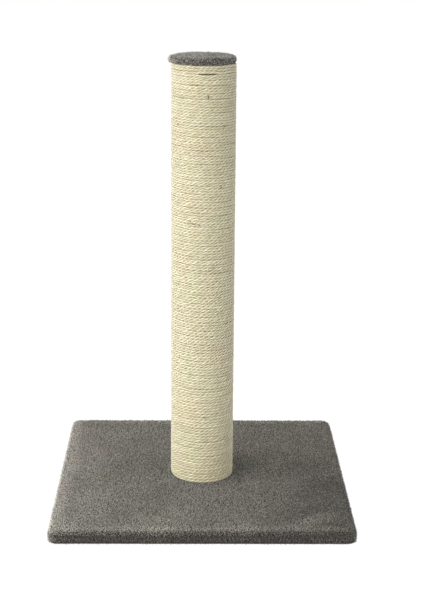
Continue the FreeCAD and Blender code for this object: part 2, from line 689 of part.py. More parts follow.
def make_cap_plush_cover():
    """The plush over the cap: turned from its half section, hollow for the disc, hem underneath."""
    body = new_body("cap_plush_cover", POST_TOP)
    hem, rim = "<cap_hem_thickness>", f"{CAP_WIDTH} / 2"
    under = f"{hem} + <cap_disc_thickness>"
    top = f"{under} + <cap_plush_top>"
    wood = "<cap_disc_width> / 2 + <fabric_gap>"
    hem_inside = "<cap_disc_width> / 2 - <cap_hem_width>"
    bend = "<cap_top_rounding>"
    diagonal = f"{bend} * (1 - cos(45 deg))"
    corners = [(hem_inside, "0"), (rim, "0"), (rim, f"{top} - {bend}")]
    corners += [(f"{rim} - {diagonal}", f"{top} - {diagonal}")]
    corners += [(f"{rim} - {bend}", top), ("0", top), ("0", under), (wood, under), (wood, hem)]
    corners += [(hem_inside, hem)]
    turn_from(body, draw_outline(new_sketch(body, "XZ_Plane"), corners), "V_Axis")
    crown = crown_slot(body, "<cap_staple_sink> + <staple_wire>", "0", f"-{CAP_STAPLE_RING}")
    legs = leg_holes(body, "0", hem, "0", f"-{CAP_STAPLE_RING}")
    repeat_round(body, [crown, legs], "<cap_staples>")
    return body


def make_cap_hem_staples():
    """A ring of staples, legs up through the cap's hem into its disc."""
    body = new_body("cap_hem_staples", POST_TOP)
    first = staple(body, CAP_STAPLE_RING, "0", "<cap_staple_sink>", "<cap_staple_leg>")
    repeat_round(body, [first], "<cap_staples>")
    return body


def make_cap_brads():
    """Brads driven upwards, heads flush with the plug's underside, tips in the cap's disc."""
    body = new_body("cap_brads", TOP_PLUG_FOOT)
    side = new_sketch(body, "YZ_Plane", "<cap_brad_circle> / 2")
    stem, head, neck = "<brad_width> / 2", "<brad_head> / 2", "<brad_head_depth>"
    corners = [(f"-{head}", "0"), (head, "0"), (head, neck), (stem, neck), (stem, "<brad_length>")]
    corners += [(f"-{stem}", "<brad_length>"), (f"-{stem}", neck), (f"-{head}", neck)]
    brad = raise_from(body, draw_outline(side, corners), "<brad_thickness>", centred=True)
    repeat_round(body, [brad], "<cap_brads>")
    return body


def check_and_write(parts):
    """Stops on any failed object, null or invalid shape, then writes each sub-part."""
    document.recompute()
    for item in document.Objects:
        if "Invalid" in item.State or "Error" in item.State:
            raise RuntimeError(f"{item.Label} failed: {item.State}")
    for part in parts:
        if part.Shape.isNull() or not part.Shape.isValid():
            raise RuntimeError(f"{part.Label} has no valid shape")
    os.makedirs("parts", exist_ok=True)
    for part in parts:
        part.Shape.exportStep(f"parts/{part.Label}.step")
        print(f"{part.Label}: {len(part.Shape.Solids)} solids, {part.Shape.Volume:.0f} mm3")


check_and_write(
    [
        make_base_board(),
        make_base_plush_cover(),
        make_base_hem_staples(),
        make_base_bolt(),
        make_base_washer(),
        make_post_tube(),
        make_foot_plug(),
        make_tee_nut(),
        make_plug_brads("foot_plug_brads", f"{POST_FOOT} + <plug_thickness> / 2"),
        make_sisal_rope(),
        make_rope_end_brads(),
        make_top_plug(),
        make_plug_brads("top_plug_brads", f"{POST_TOP} - <plug_thickness> / 2"),
        make_cap_disc(),
        make_cap_plush_cover(),
        make_cap_hem_staples(),
        make_cap_brads(),
    ]
)
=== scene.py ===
"""Cat scratching post: plush base and cap, wound sisal, and the finishes of wood, card and steel inside."""

import math

import bmesh
import bpy
import numpy as np
from mathutils import Matrix, Vector, noise


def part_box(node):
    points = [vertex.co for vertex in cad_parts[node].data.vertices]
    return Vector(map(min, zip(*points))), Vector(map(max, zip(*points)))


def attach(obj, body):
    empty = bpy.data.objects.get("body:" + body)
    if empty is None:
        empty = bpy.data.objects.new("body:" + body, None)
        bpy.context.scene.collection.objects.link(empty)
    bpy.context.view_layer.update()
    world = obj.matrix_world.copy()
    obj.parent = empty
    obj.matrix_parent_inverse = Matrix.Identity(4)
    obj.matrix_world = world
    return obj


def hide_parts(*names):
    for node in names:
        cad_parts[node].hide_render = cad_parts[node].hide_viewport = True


bl_info = {
    "name": "Cat Scratching Post",
    "version": (1, 0, 0),
    "blender": (4, 5, 0),
    "location": "View3D > Sidebar > Scratching Post",
    "description": "Dresses the frame of a scratching post with plush, sisal and its inner finishes",
    "category": "Object",
}

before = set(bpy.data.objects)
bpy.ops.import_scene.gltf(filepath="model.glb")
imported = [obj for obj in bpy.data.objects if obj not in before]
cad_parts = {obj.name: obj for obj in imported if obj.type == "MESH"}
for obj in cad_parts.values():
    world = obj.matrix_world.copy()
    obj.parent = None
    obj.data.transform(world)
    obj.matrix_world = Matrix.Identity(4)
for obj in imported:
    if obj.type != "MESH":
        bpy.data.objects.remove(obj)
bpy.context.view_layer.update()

TUBE_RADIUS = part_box("post_tube")[1][0]
ROPE_FOOT, ROPE_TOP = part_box("sisal_rope")[0][2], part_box("sisal_rope")[1][2]
BASE_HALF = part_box("base_plush_cover")[1][0]
POST_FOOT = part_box("post_tube")[0][2]
CAP_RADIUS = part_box("cap_plush_cover")[1][0]
CAP_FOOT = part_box("cap_plush_cover")[0][2]
DISC_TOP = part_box("cap_disc")[1][2]

RINGS_PER_TURN = 168
ROPE_PIECES = 4
PROFILE_POINTS = 12
STRANDS = 3
GROOVE, SHOULDER = 0.66, 0.93  # radius of the rope's section in its grooves and beside them
PRESSED = 0.87  # how far the rope is flattened against the tube
# Painted shade: the crest value, and so the sisal's colour, is cut back in the seams between rows.
SEAM_PAINTED_SHADE = 0.60  # how much of the crest colour is lost in the seams between rows
PLAIN_SHADE, MOST_SHADE = 0.5, 1.6  # a plain tuft's shade, and the palest
COVERED_RADIUS = TUBE_RADIUS + 0.0048  # inside this circle the plush is pressed under the post
STAPLE_SPOTS = (-0.15, 0.0, 0.15)  # staples along each side of the hem
CAMERA_PLACE = (-0.0123, -1.837, 0.8154)
CAMERA_PITCH, CAMERA_YAW, CAMERA_ROLL = 0.2813, 0.0131, 0.0071  # in radians
# Lamps: name, place, point it's aimed at, side of its square, setting that holds its power.
LAMPS = (
    ("Key lamp", (-2.4, -1.2, 2.1), (0, 0, 0.22), 3.3, "key_power"),
    ("Top lamp", (0.0, 0.4, 4.2), (0, 0, 0), 3.0, "top_power"),
    ("Low lamp", (-0.9, -1.8, 0.30), (0, 0, 0), 0.8, "fill_power"),
)
# Places where the winding stands open: degrees round the post, height, half width in degrees, opening.
OPEN_TURNS = [
    (-95.0, 0.6000, 4.5, 0.0023),
    (-86.5, 0.6000, 4.6, 0.0027),
    (-78.0, 0.6000, 4.4, 0.0025),
    (-70.0, 0.6000, 4.4, 0.0022),
    (-119.0, 0.6000, 3.0, 0.0014),
    (-39.0, 0.5990, 4.5, 0.0016),
    (-104.0, 0.5830, 10.0, 0.0010),
    (-84.0, 0.5285, 22.0, 0.0009),
    (-112.0, 0.3980, 14.0, 0.0013),
    (-79.0, 0.3310, 7.0, 0.0011),
    (40.0, 0.2300, 14.0, 0.0006),
    (150.0, 0.4700, 11.0, 0.0005),
    (95.0, 0.1200, 10.0, 0.0005),
]
# Dark bark fibres left in the sisal: degrees round the post, height, length, slope in degrees.
BARK_FIBRES = [
    (-82.8, 0.5695, 0.0060, 105.0),
    (-81.9, 0.5682, 0.0045, 62.0),
    (-114.0, 0.4000, 0.0050, -12.0),
    (-107.0, 0.3975, 0.0060, -25.0),
    (-97.0, 0.3960, 0.0050, 15.0),
    (-140.0, 0.5310, 0.0040, 60.0),
    (-52.0, 0.5290, 0.0050, -40.0),
    (-58.0, 0.4470, 0.0040, 50.0),
    (-86.0, 0.1180, 0.0050, -20.0),
    (60.0, 0.3310, 0.0060, 35.0),
    (120.0, 0.2200, 0.0050, -50.0),
]


# Settings


class RopeSettings(bpy.types.PropertyGroup):
    """The sisal rope and its winding."""

    foot_pitch: bpy.props.FloatProperty(
        name="Pitch at the foot",
        description="Rise of one turn at the post's foot",
        default=0.00435,
        unit="LENGTH",
    )
    middle_pitch: bpy.props.FloatProperty(
        name="Pitch halfway", description="Rise of one turn halfway up", default=0.0039, unit="LENGTH"
    )
    top_pitch: bpy.props.FloatProperty(
        name="Pitch at the top", description="Rise of one turn under the cap", default=0.0035, unit="LENGTH"
    )
    lay: bpy.props.FloatProperty(
        name="Lay",
        description="Length in which a strand goes once round the rope",
        default=0.0203,
        unit="LENGTH",
    )
    stray_fibres: bpy.props.IntProperty(
        name="Stray fibres", description="Loose fibres that stand off the winding", default=4200
    )
    crest_colour: bpy.props.FloatVectorProperty(
        name="Crest colour",
        description="Sisal on the strands' backs",
        default=(0.692, 0.665, 0.492),
        size=3, subtype="COLOR",
    )
    # Painted shade: the grooves between the strands get this darker colour in place of shade.
    groove_shade_colour: bpy.props.FloatVectorProperty(
        name="Groove colour",
        description="Sisal between the strands",
        default=(0.280, 0.240, 0.140),
        size=3, subtype="COLOR",
    )


class PlushSettings(bpy.types.PropertyGroup):
    """The plush on base and cap."""

    pile_length: bpy.props.FloatProperty(
        name="Pile length", description="Mean length of a tuft", default=0.0033, unit="LENGTH"
    )
    pile_width: bpy.props.FloatProperty(
        name="Tuft width", description="Width of a tuft at its root", default=0.0013, unit="LENGTH"
    )
    tufts_per_area: bpy.props.FloatProperty(
        name="Tufts", description="Tufts on each square centimetre", default=58.0
    )
    backing: bpy.props.FloatProperty(
        name="Backing", description="Thickness of the knitted backing", default=0.0008, unit="LENGTH"
    )
    tip_colour: bpy.props.FloatVectorProperty(
        name="Tip colour",
        description="Pile at the tufts' tips",
        default=(0.470, 0.447, 0.390),
        size=3, subtype="COLOR",
    )
    # Painted shade: the roots, deep between the tufts, and the backing get this dark colour.
    root_shade_colour: bpy.props.FloatVectorProperty(
        name="Root colour",
        description="Pile at the tufts' roots",
        default=(0.034, 0.032, 0.028),
        size=3, subtype="COLOR",
    )


class StudioSettings(bpy.types.PropertyGroup):
    """Lamps, floor and camera."""

    key_power: bpy.props.FloatProperty(
        name="Key lamp", description="Power of the soft lamp at the upper left", default=88.0, unit="POWER"
    )
    fill_power: bpy.props.FloatProperty(
        name="Low lamp",
        description="Power of the weak lamp low at the front left",
        default=13.0,
        unit="POWER",
    )
    top_power: bpy.props.FloatProperty(
        name="Top lamp", description="Power of the wide lamp above the object", default=115.0, unit="POWER"
    )
    ambient: bpy.props.FloatProperty(
        name="Ambient", description="Strength of the even light from all sides", default=0.54
    )
    camera_lens: bpy.props.FloatProperty(
        name="Camera lens", description="Focal length for a picture 36 mm high", default=82.86, unit="CAMERA"
    )


class PostSettings(bpy.types.PropertyGroup):
    """All settings of the scratching post."""

    rope: bpy.props.PointerProperty(type=RopeSettings)
    plush: bpy.props.PointerProperty(type=PlushSettings)
    studio: bpy.props.PointerProperty(type=StudioSettings)


# Materials


class Finish:
    """A material under construction: adds nodes and joins them."""

    def __init__(self, name, **plain):
        self.material = bpy.data.materials.new(name)
        self.material.use_nodes = True
        self.tree = self.material.node_tree
        self.shader = self.tree.nodes["Principled BSDF"]
        for socket, value in plain.items():
            self.shader.inputs[socket.replace("_", " ")].default_value = value

    def add(self, kind, inputs=None, **settings):
        """A new node with these settings; an input is a value or another node's output."""
        node = self.tree.nodes.new(kind)
        for name, value in settings.items():
            setattr(node, name, value)
        for socket, value in (inputs or {}).items():
            if isinstance(value, bpy.types.NodeSocket):
                self.tree.links.new(value, node.inputs[socket])
            else:
                node.inputs[socket].default_value = value
        return node

    def place(self):
        """Object coordinates."""
        return self.add("ShaderNodeTexCoord").outputs["Object"]

    def level(self, vector):
        """The vector's part that points up."""
        return self.add("ShaderNodeSeparateXYZ", {"Vector": vector}).outputs["Z"]

    def stretch(self, vector, scale, turn=(0, 0, 0)):
        """The vector scaled and turned."""
        inputs = {"Vector": vector, "Scale": scale, "Rotation": turn}
        return self.add("ShaderNodeMapping", inputs).outputs["Vector"]

    def grain(self, vector, scale, detail=3.0, rough=0.55):
        """Cloudy noise."""
        inputs = {"Vector": vector, "Scale": scale, "Detail": detail, "Roughness": rough}
        return self.add("ShaderNodeTexNoise", inputs).outputs["Fac"]

    def cells(self, vector, scale, output="Color"):
        """A pattern of irregular cells."""
        return self.add("ShaderNodeTexVoronoi", {"Vector": vector, "Scale": scale}).outputs[output]

    def attribute(self, name):
        """A value stored at the mesh's points."""
        return self.add("ShaderNodeAttribute", attribute_name=name).outputs["Fac"]

    def work(self, operation, first, second):
        """One step of arithmetic; steps on one value leave the second at 0."""
        return self.add("ShaderNodeMath", {0: first, 1: second}, operation=operation).outputs[0]

    def span(self, value, low, high, start=0.0, end=1.0):
        """Maps low to high onto start to end."""
        inputs = {"Value": value, "From Min": low, "From Max": high, "To Min": start, "To Max": end}
        return self.add("ShaderNodeMapRange", inputs).outputs["Result"]

    def ramp(self, value, *stops):
        """A colour ramp through (position, colour) stops; a plain number is a grey."""
        node = self.add("ShaderNodeValToRGB", {"Fac": value})
        steps = node.color_ramp.elements
        while len(steps) < len(stops):
            steps.new(0.5)
        for step, (position, colour) in zip(steps, stops):
            step.position = position
            step.color = (*((colour,) * 3 if isinstance(colour, (int, float)) else colour), 1.0)
        return node.outputs["Color"]

    def tint(self, colour, value, *stops, amount=1.0):
        """Multiplies a colour by a ramp."""
        return self.blend(amount, colour, self.ramp(value, *stops), "MULTIPLY")

    def blend(self, amount, first, second, kind="MIX"):
        """Mixes two colours."""
        node = self.add("ShaderNodeMix", data_type="RGBA", blend_type=kind)
        for index, value in ((0, amount), (6, first), (7, second)):
            if isinstance(value, bpy.types.NodeSocket):
                self.tree.links.new(value, node.inputs[index])
            elif index:
                node.inputs[index].default_value = (*value, 1.0)
            else:
                node.inputs[index].default_value = value
        return node.outputs[2]

    def done(self, colour, height=None, distance=0.0003, strength=0.6, rough=None):
        """Joins colour, bump and roughness to the shader and gives back the material."""
        self.tree.links.new(colour, self.shader.inputs["Base Color"])
        if rough is not None:
            self.tree.links.new(rough, self.shader.inputs["Roughness"])
        if height is not None:
            inputs = {"Height": height, "Distance": distance, "Strength": strength}
            bump = self.add("ShaderNodeBump", inputs)
            self.tree.links.new(bump.outputs["Normal"], self.shader.inputs["Normal"])
        return self.material


def sisal_finish(rope):
    """Laid sisal: pale strands, painted shade in the grooves, fibres that run along each strand."""
    # The sheen and the specular level are set high to whiten the lit side as in the picture.
    finish = Finish("Sisal", Roughness=0.78, Specular_IOR_Level=0.45, Sheen_Weight=0.45)
    along = finish.add("ShaderNodeUVMap", uv_map="Along").outputs["UV"]
    fibres = finish.grain(finish.stretch(along, (95, 46, 1)), 1.0, 4.0, 0.65)
    strands = finish.grain(finish.stretch(along, (14, 3, 1)), 1.0, 2.0)
    lengths = finish.grain(finish.stretch(along, (3.1, 0.2, 1)), 1.0, 2.0)
    # Painted shade: darker towards the grooves between the strands and in the seams between rows.
    colour = finish.ramp(finish.attribute("crest"), (0.0, rope.groove_shade_colour), (0.58, rope.crest_colour))
    streaks = ((0.30, (0.64, 0.60, 0.52)), (0.52, 1), (0.75, (1.14, 1.14, 1.12)))
    colour = finish.tint(colour, fibres, *streaks, amount=0.85)
    colour = finish.tint(colour, strands, (0.32, (0.82, 0.80, 0.73)), (0.60, 1.06))
    colour = finish.tint(colour, lengths, (0.30, (0.92, 0.90, 0.86)), (0.65, 1.04))
    casts = finish.grain(finish.stretch(finish.place(), (1, 1, 0.6)), 26.0, 1.0)
    hues = ((0.36, (0.985, 1.01, 0.985)), (0.50, 1), (0.64, (1.02, 0.99, 0.985)))
    colour = finish.tint(colour, casts, *hues)
    specks = finish.grain(finish.stretch(along, (520, 9, 1)), 1.0, 1.0)
    colour = finish.tint(colour, specks, (0.34, (0.84, 0.82, 0.78)), (0.50, 1), (0.66, (1.10, 1.10, 1.09)))
    # Fitted to the picture's light: nothing there shows that the sisal itself is paler at the foot.
    fitted = ((0.03, (1.15, 1.14, 1.13)), (0.22, 1), (0.55, (0.96, 0.95, 0.94)))
    colour = finish.tint(colour, finish.level(finish.place()), *fitted)
    rough = finish.span(fibres, 0.3, 0.7, 0.86, 0.68)
    return finish.done(colour, fibres, 0.00035, 0.7, rough)


def stray_finish(rope):
    """Single sisal fibres."""
    finish = Finish("Sisal fibre", Roughness=0.7, Specular_IOR_Level=0.3)
    tone = finish.grain(finish.place(), 60.0, 2.0)
    pale = tuple(min(1.0, 1.08 * part) for part in rope.crest_colour)
    return finish.done(finish.ramp(tone, (0.3, rope.crest_colour), (0.7, pale)))


def bark_finish():
    """Brown remains of bark on single fibres."""
    finish = Finish("Sisal bark", Roughness=0.85, Specular_IOR_Level=0.2)
    tone = finish.grain(finish.place(), 900.0, 2.0)
    return finish.done(finish.ramp(tone, (0.3, (0.075, 0.055, 0.030)), (0.7, (0.21, 0.165, 0.095))), tone)


def pile_finish(plush, name, lift, spots, contrast):
    """Cut pile: dark roots, paler tips, every tuft a little different, in clumps and brushed patches."""
    finish = Finish(name, Roughness=0.9, Specular_IOR_Level=0.12, Sheen_Weight=0.25, Sheen_Roughness=0.45)
    place = finish.place()
    # Painted shade: dark roots, paler tips; a lift below 1, as on the cap, is painted shade too.
    tips = tuple(lift * part for part in plush.tip_colour)
    colour = finish.ramp(finish.attribute("tip"), (0.15, plush.root_shade_colour), (0.92, tips))
    shade = finish.work("MULTIPLY", finish.attribute("shade"), 1 / MOST_SHADE)
    own = ((0.0, 0.34), (PLAIN_SHADE / MOST_SHADE, 1), (1.0, (2.05, 2.07, 2.10)))
    colour = finish.tint(colour, shade, *own)
    clumps = ((0.33, 1 - contrast), (0.50, 1), (0.67, 1 + contrast))
    colour = finish.tint(colour, finish.grain(place, spots, 2.0), *clumps)
    brushed = finish.grain(finish.stretch(place, (1.0, 0.7, 1.0), (0, 0, 0.5)), 13.0, 3.0, 0.6)
    colour = finish.tint(colour, brushed, (0.34, 0.84), (0.50, 1), (0.68, (1.18, 1.17, 1.15)))
    hues = ((0.36, (0.985, 1.015, 0.975)), (0.50, 1), (0.64, (1.025, 0.985, 1.0)))
    return finish.done(finish.tint(colour, finish.grain(place, 10.0, 1.0), *hues))


def backing_finish(plush):
    """The knitted backing between the tufts' roots, in shadow and slightly mottled."""
    finish = Finish("Plush backing", Roughness=0.95, Specular_IOR_Level=0.1, Sheen_Weight=0.1)
    place = finish.place()
    knit = finish.cells(place, 900.0, "Distance")
    mottle = finish.grain(place, 220.0, 3.0)
    dark = tuple(0.9 * part for part in plush.root_shade_colour)
    pale = tuple(1.9 * part for part in plush.root_shade_colour)
    colour = finish.ramp(mottle, (0.30, dark), (0.72, pale))
    return finish.done(colour, finish.work("ADD", knit, mottle), 0.0004, 0.8)


def chipboard_finish():
    """Pressed chips of several wood tones."""
    finish = Finish("Chipboard", Roughness=0.8, Specular_IOR_Level=0.25)
    place = finish.place()
    chips = finish.cells(finish.stretch(place, (1.0, 0.45, 1.6), (0, 0, 0.7)), 420.0)
    dust = finish.grain(place, 900.0, 4.0, 0.7)
    tone = finish.add("ShaderNodeSeparateColor", {"Color": chips}).outputs["Red"]
    chip_tones = ((0.0, (0.29, 0.18, 0.085)), (0.45, (0.50, 0.35, 0.19)), (1.0, (0.66, 0.51, 0.31)))
    colour = finish.ramp(tone, *chip_tones)
    colour = finish.blend(finish.span(dust, 0.35, 0.65), colour, (0.44, 0.31, 0.17))
    return finish.done(colour, finish.work("ADD", tone, dust), 0.0003, 0.5)


def plywood_finish():
    """Birch plywood: long grain on the faces, light and dark plies on the edges."""
    finish = Finish("Plywood", Roughness=0.62, Specular_IOR_Level=0.3)
    place = finish.place()
    grain = finish.grain(finish.stretch(place, (14, 160, 14)), 1.0, 4.0, 0.65)
    birch_tones = ((0.30, (0.53, 0.37, 0.21)), (0.55, (0.69, 0.53, 0.34)), (0.75, (0.76, 0.61, 0.41)))
    face = finish.ramp(grain, *birch_tones)
    plies = finish.work("SINE", finish.work("MULTIPLY", finish.level(place), 2 * math.pi / 0.003), 0.0)
    edge = finish.ramp(finish.span(plies, -0.5, 0.5), (0.25, (0.40, 0.25, 0.13)), (0.75, (0.68, 0.52, 0.33)))
    facing = finish.add("ShaderNodeNewGeometry").outputs["True Normal"]
    flat = finish.span(finish.work("ABSOLUTE", finish.level(facing), 0.0), 0.5, 0.8)
    return finish.done(finish.blend(flat, edge, face), grain, 0.00015, 0.4)


def core_board_finish():
    """Spiral paper board with its seams, in painted shade so that the open gap reads as in the picture."""
    finish = Finish("Core board", Roughness=0.85, Specular_IOR_Level=0.2)
    place = finish.place()
    parts = finish.add("ShaderNodeSeparateXYZ", {"Vector": place})
    angle = finish.work("ARCTAN2", parts.outputs["Y"], parts.outputs["X"])
    climb = finish.work("DIVIDE", parts.outputs["Z"], 0.105)
    turns = finish.work("ADD", finish.work("DIVIDE", angle, 2 * math.pi), climb)
    seam = finish.work("FRACT", turns, 0.0)
    fibres = finish.grain(place, 420.0, 4.0, 0.7)
    # Painted shade: the paper is this dark so the gap in the winding reads dark.
    paper = finish.ramp(fibres, (0.3, (0.135, 0.108, 0.066)), (0.7, (0.23, 0.185, 0.115)))
    paper = finish.tint(paper, seam, (0.0, 0.60), (0.012, 1), (1.0, 0.96))
    return finish.done(paper, fibres, 0.0002, 0.5)


def steel_finish(name, colour, rough, spangle):
    """Zinc-coated steel with the faint mottling of its coat."""
    finish = Finish(name, Metallic=1.0)
    place = finish.place()
    flakes = finish.add("ShaderNodeSeparateColor", {"Color": finish.cells(place, spangle)}).outputs["Green"]
    haze = finish.grain(place, 0.6 * spangle, 3.0)
    pale = tuple(min(1.0, 1.18 * part) for part in colour)
    mixed = finish.work("MULTIPLY", finish.work("ADD", flakes, haze), 0.5)
    tone = finish.ramp(mixed, (0.2, colour), (0.8, pale))
    return finish.done(tone, haze, 0.00005, 0.4, finish.span(haze, 0.3, 0.7, rough, rough + 0.16))


def new_object(name, data):
    """An object with this data, in the scene."""
    item = bpy.data.objects.new(name, data)
    bpy.context.scene.collection.objects.link(item)
    return item


def dress(piece, material):
    """Gives a piece this one material."""
    piece.data.materials.clear()
    piece.data.materials.append(material)


def add_piece(name, mesh, material):
    """A finished piece of the object, at the origin, that rides on the part's only body."""
    piece = new_object(name, mesh)
    dress(piece, material)
    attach(piece, "root")
    return piece


def mesh_of(curve):
    """The mesh that a curve makes, without the curve itself."""
    holder = new_object(curve.name, curve)
    graph = bpy.context.evaluated_depsgraph_get()
    mesh = bpy.data.meshes.new_from_object(holder.evaluated_get(graph))
    bpy.data.objects.remove(holder)
    return mesh


# Rope


def bell(value):
    """1 at a value of 0, fading to both sides."""
    return np.exp(-(value**2))


def ripple(along, waves, dice):
    """A smooth random line between about -1 and 1, from a few sines of these wavelengths."""
    parts = [np.sin(2 * math.pi * (along / wave + dice.random())) for wave in waves]
    return sum(parts) / math.sqrt(len(waves))


def late_rise(turn):
    """What an end turn lies lower than a plain helix, in pitches: it stays flat and rises at the back."""
    share = turn % 1.0
    rise = np.clip((share - 0.62) / 0.38, 0, 1)
    return (rise * rise * (3 - 2 * rise) - share) * np.exp(-turn / 8)


def winding(rope):
    """The rope's centre line, its radius and its twist, ring by ring from the foot to the top."""
    dice = np.random.default_rng(7)
    pitches = (rope.foot_pitch, rope.middle_pitch, rope.top_pitch)
    steps = []
    height = ROPE_FOOT + rope.foot_pitch / 2
    while height < ROPE_TOP - rope.top_pitch / 2:
        share = (height - ROPE_FOOT) / (ROPE_TOP - ROPE_FOOT)
        steps.append(height)
        height += np.interp(share, (0, 0.5, 1), pitches) / RINGS_PER_TURN
    turns = round(len(steps) / RINGS_PER_TURN)
    turn = np.arange(turns * RINGS_PER_TURN + 1) / RINGS_PER_TURN
    heights = np.interp(turn / turns, np.linspace(0, 1, len(steps)), steps)
    pitch_at = np.gradient(heights) * RINGS_PER_TURN
    heights += pitch_at * (late_rise(turn) - late_rise(turns - turn))
    angle = math.pi / 2 - 2 * math.pi * turn
    length = turn * 2 * math.pi * (TUBE_RADIUS + rope.middle_pitch / 2)
    full = np.interp(turn / turns, (0, 0.35, 1), (1.13, 1.18, 1.20))
    thick = pitch_at / 2 * (full + 0.035 * ripple(length, (0.031, 0.083, 0.21, 0.57), dice))
    ring = TUBE_RADIUS + 0.97 * thick + 0.00008 * ripple(length, (0.047, 0.13, 0.39), dice)
    wander = 0.00020 * ripple(length, (0.027, 0.061, 0.17, 0.43, 1.3), dice)
    for place, middle, reach, opening in OPEN_TURNS:
        off = (np.degrees(angle) - place + 180) % 360 - 180
        window = bell(off / reach)
        level = heights + pitch_at * off / 360
        rows = level[np.abs(off) < 180 / RINGS_PER_TURN]
        seams = (rows[1:] + rows[:-1]) / 2
        apart = level - seams[np.abs(seams - middle).argmin()]
        wander += opening / 2 * window * np.tanh(apart / 0.0012) * np.exp(-np.abs(apart) / 0.010)
    fade = np.clip(np.minimum(turn, turn[-1] - turn), 0, 1)
    line = np.column_stack([ring * np.cos(angle), ring * np.sin(angle), heights + wander * fade])
    steps = np.linalg.norm(np.diff(line, axis=0), axis=1)
    length = np.concatenate([[0], np.cumsum(steps)])
    uneven = 1 + 0.20 * ripple(length, (0.053, 0.097, 0.17, 0.43, 0.83), dice)
    twist = -np.concatenate([[0], np.cumsum(steps * uneven[1:])]) / rope.lay * 2 * math.pi
    return line, thick, twist, length


def rope_profile():
    """Three round strands as one closed outline of radius 1."""
    curve = bpy.data.curves.new("rope_profile", "CURVE")
    curve.dimensions = "2D"
    spline = curve.splines.new("POLY")
    spline.points.add(PROFILE_POINTS - 1)
    spline.use_cyclic_u = True
    for index, point in enumerate(spline.points):
        angle = 2 * math.pi * index / PROFILE_POINTS
        point.co = (*(profile_radius(index) * Vector((math.cos(angle), math.sin(angle)))), 0, 1)
    return new_object("rope_profile", curve)


def profile_radius(index):
    """Radius of the outline at one of its points: a groove, a shoulder, a crest, a shoulder, and so on."""
    return (GROOVE, SHOULDER, 1.0, SHOULDER)[index % (PROFILE_POINTS // STRANDS)]


def rope_mesh(name, line, thick, twist, profile):
    """A laid rope along these points."""
    curve = bpy.data.curves.new(name, "CURVE")
    curve.dimensions = "3D"
    curve.twist_mode = "Z_UP"
    curve.bevel_mode = "OBJECT"
    curve.bevel_object = profile
    spline = curve.splines.new("POLY")
    spline.points.add(len(line) - 1)
    spline.points.foreach_set("co", np.column_stack([line, np.ones(len(line))]).ravel())
    spline.points.foreach_set("radius", thick)
    spline.points.foreach_set("tilt", np.mod(twist, 2 * math.pi))
    mesh = mesh_of(curve)
    tube = bmesh.new()
    tube.from_mesh(mesh)
    bmesh.ops.holes_fill(tube, edges=[edge for edge in tube.edges if edge.is_boundary], sides=PROFILE_POINTS)
    bmesh.ops.recalc_face_normals(tube, faces=tube.faces)
    for vertex in tube.verts:
        out = math.hypot(vertex.co.x, vertex.co.y)
        pressed = (TUBE_RADIUS + PRESSED * max(0.0002, out - TUBE_RADIUS)) / out
        vertex.co.x *= pressed
        vertex.co.y *= pressed
    tube.to_mesh(mesh)
    tube.free()
    mesh.shade_smooth()
    return mesh


def mark_rope(mesh, rings, length):
    """Stores the crests for painted shade in grooves and row seams, and maps along the rope and in rows."""
    ring_of = np.arange(rings).repeat(PROFILE_POINTS)
    if len(mesh.vertices) != len(ring_of):
        raise RuntimeError(f"{mesh.name}: {len(mesh.vertices)} points in place of {len(ring_of)}")
    radii = np.array([profile_radius(i) for i in range(PROFILE_POINTS)])
    # Painted shade: 0 in the grooves between the strands, 1 on their crests.
    crest = np.tile((radii - GROOVE) / (1 - GROOVE), rings)
    points = np.empty(3 * len(mesh.vertices))
    mesh.vertices.foreach_get("co", points)
    rise = points[2::3].reshape(rings, PROFILE_POINTS)
    rise = np.abs(rise - rise.mean(axis=1, keepdims=True))
    rise /= rise.max(axis=1, keepdims=True)
    # Painted shade: darker still in the seams between rows.
    crest *= 1 - SEAM_PAINTED_SHADE * np.clip((rise.ravel() - 0.50) / 0.36, 0, 1)
    mesh.attributes.new("crest", "FLOAT", "POINT").data.foreach_set("value", crest)
    corners = np.empty(len(mesh.loops), int)
    mesh.loops.foreach_get("vertex_index", corners)
    starts = np.empty(len(mesh.polygons), int)
    sides = np.empty(len(mesh.polygons), int)
    mesh.polygons.foreach_get("loop_start", starts)
    mesh.polygons.foreach_get("loop_total", sides)
    ring, point = corners // PROFILE_POINTS, (corners % PROFILE_POINTS).astype(float)
    along, rows = np.zeros((len(corners), 2)), np.zeros((len(corners), 2))
    quads = starts[sides == 4][:, None] + np.arange(4)
    last = (point[quads] == 0) & (point[quads].max(axis=1, keepdims=True) == PROFILE_POINTS - 1)
    round_rope = np.where(last, PROFILE_POINTS, point[quads]) / PROFILE_POINTS
    first = ring[quads].min(axis=1, keepdims=True)
    row, count = first // RINGS_PER_TURN, rings // RINGS_PER_TURN + 1
    along[quads] = np.stack([length[ring[quads]], round_rope], axis=-1)
    across = (ring[quads] - row * RINGS_PER_TURN) / RINGS_PER_TURN
    rows[quads] = np.stack([across, (row + 0.04 + 0.92 * round_rope) / count], axis=-1)
    caps = starts[sides != 4]
    for cap in caps:
        spread = np.arange(PROFILE_POINTS) * 2 * math.pi / PROFILE_POINTS
        disc = np.stack([np.cos(spread), np.sin(spread)], axis=-1) * 0.4 / count
        rows[cap : cap + PROFILE_POINTS] = disc + (0.98, (count - 0.5) / count)
        start = np.full(PROFILE_POINTS, length[0])
        along[cap : cap + PROFILE_POINTS] = np.stack([start, spread / 6.3], axis=-1)
    mesh.uv_layers.new(name="Along").data.foreach_set("uv", along.ravel())
    mesh.uv_layers.new(name="OFBake").data.foreach_set("uv", rows.ravel())


def fibre_curve(name, radius, resolution):
    """An empty curve for round fibres of this radius with closed ends."""
    curve = bpy.data.curves.new(name, "CURVE")
    curve.dimensions = "3D"
    curve.bevel_depth = radius
    curve.bevel_resolution = resolution
    curve.use_fill_caps = True
    return curve


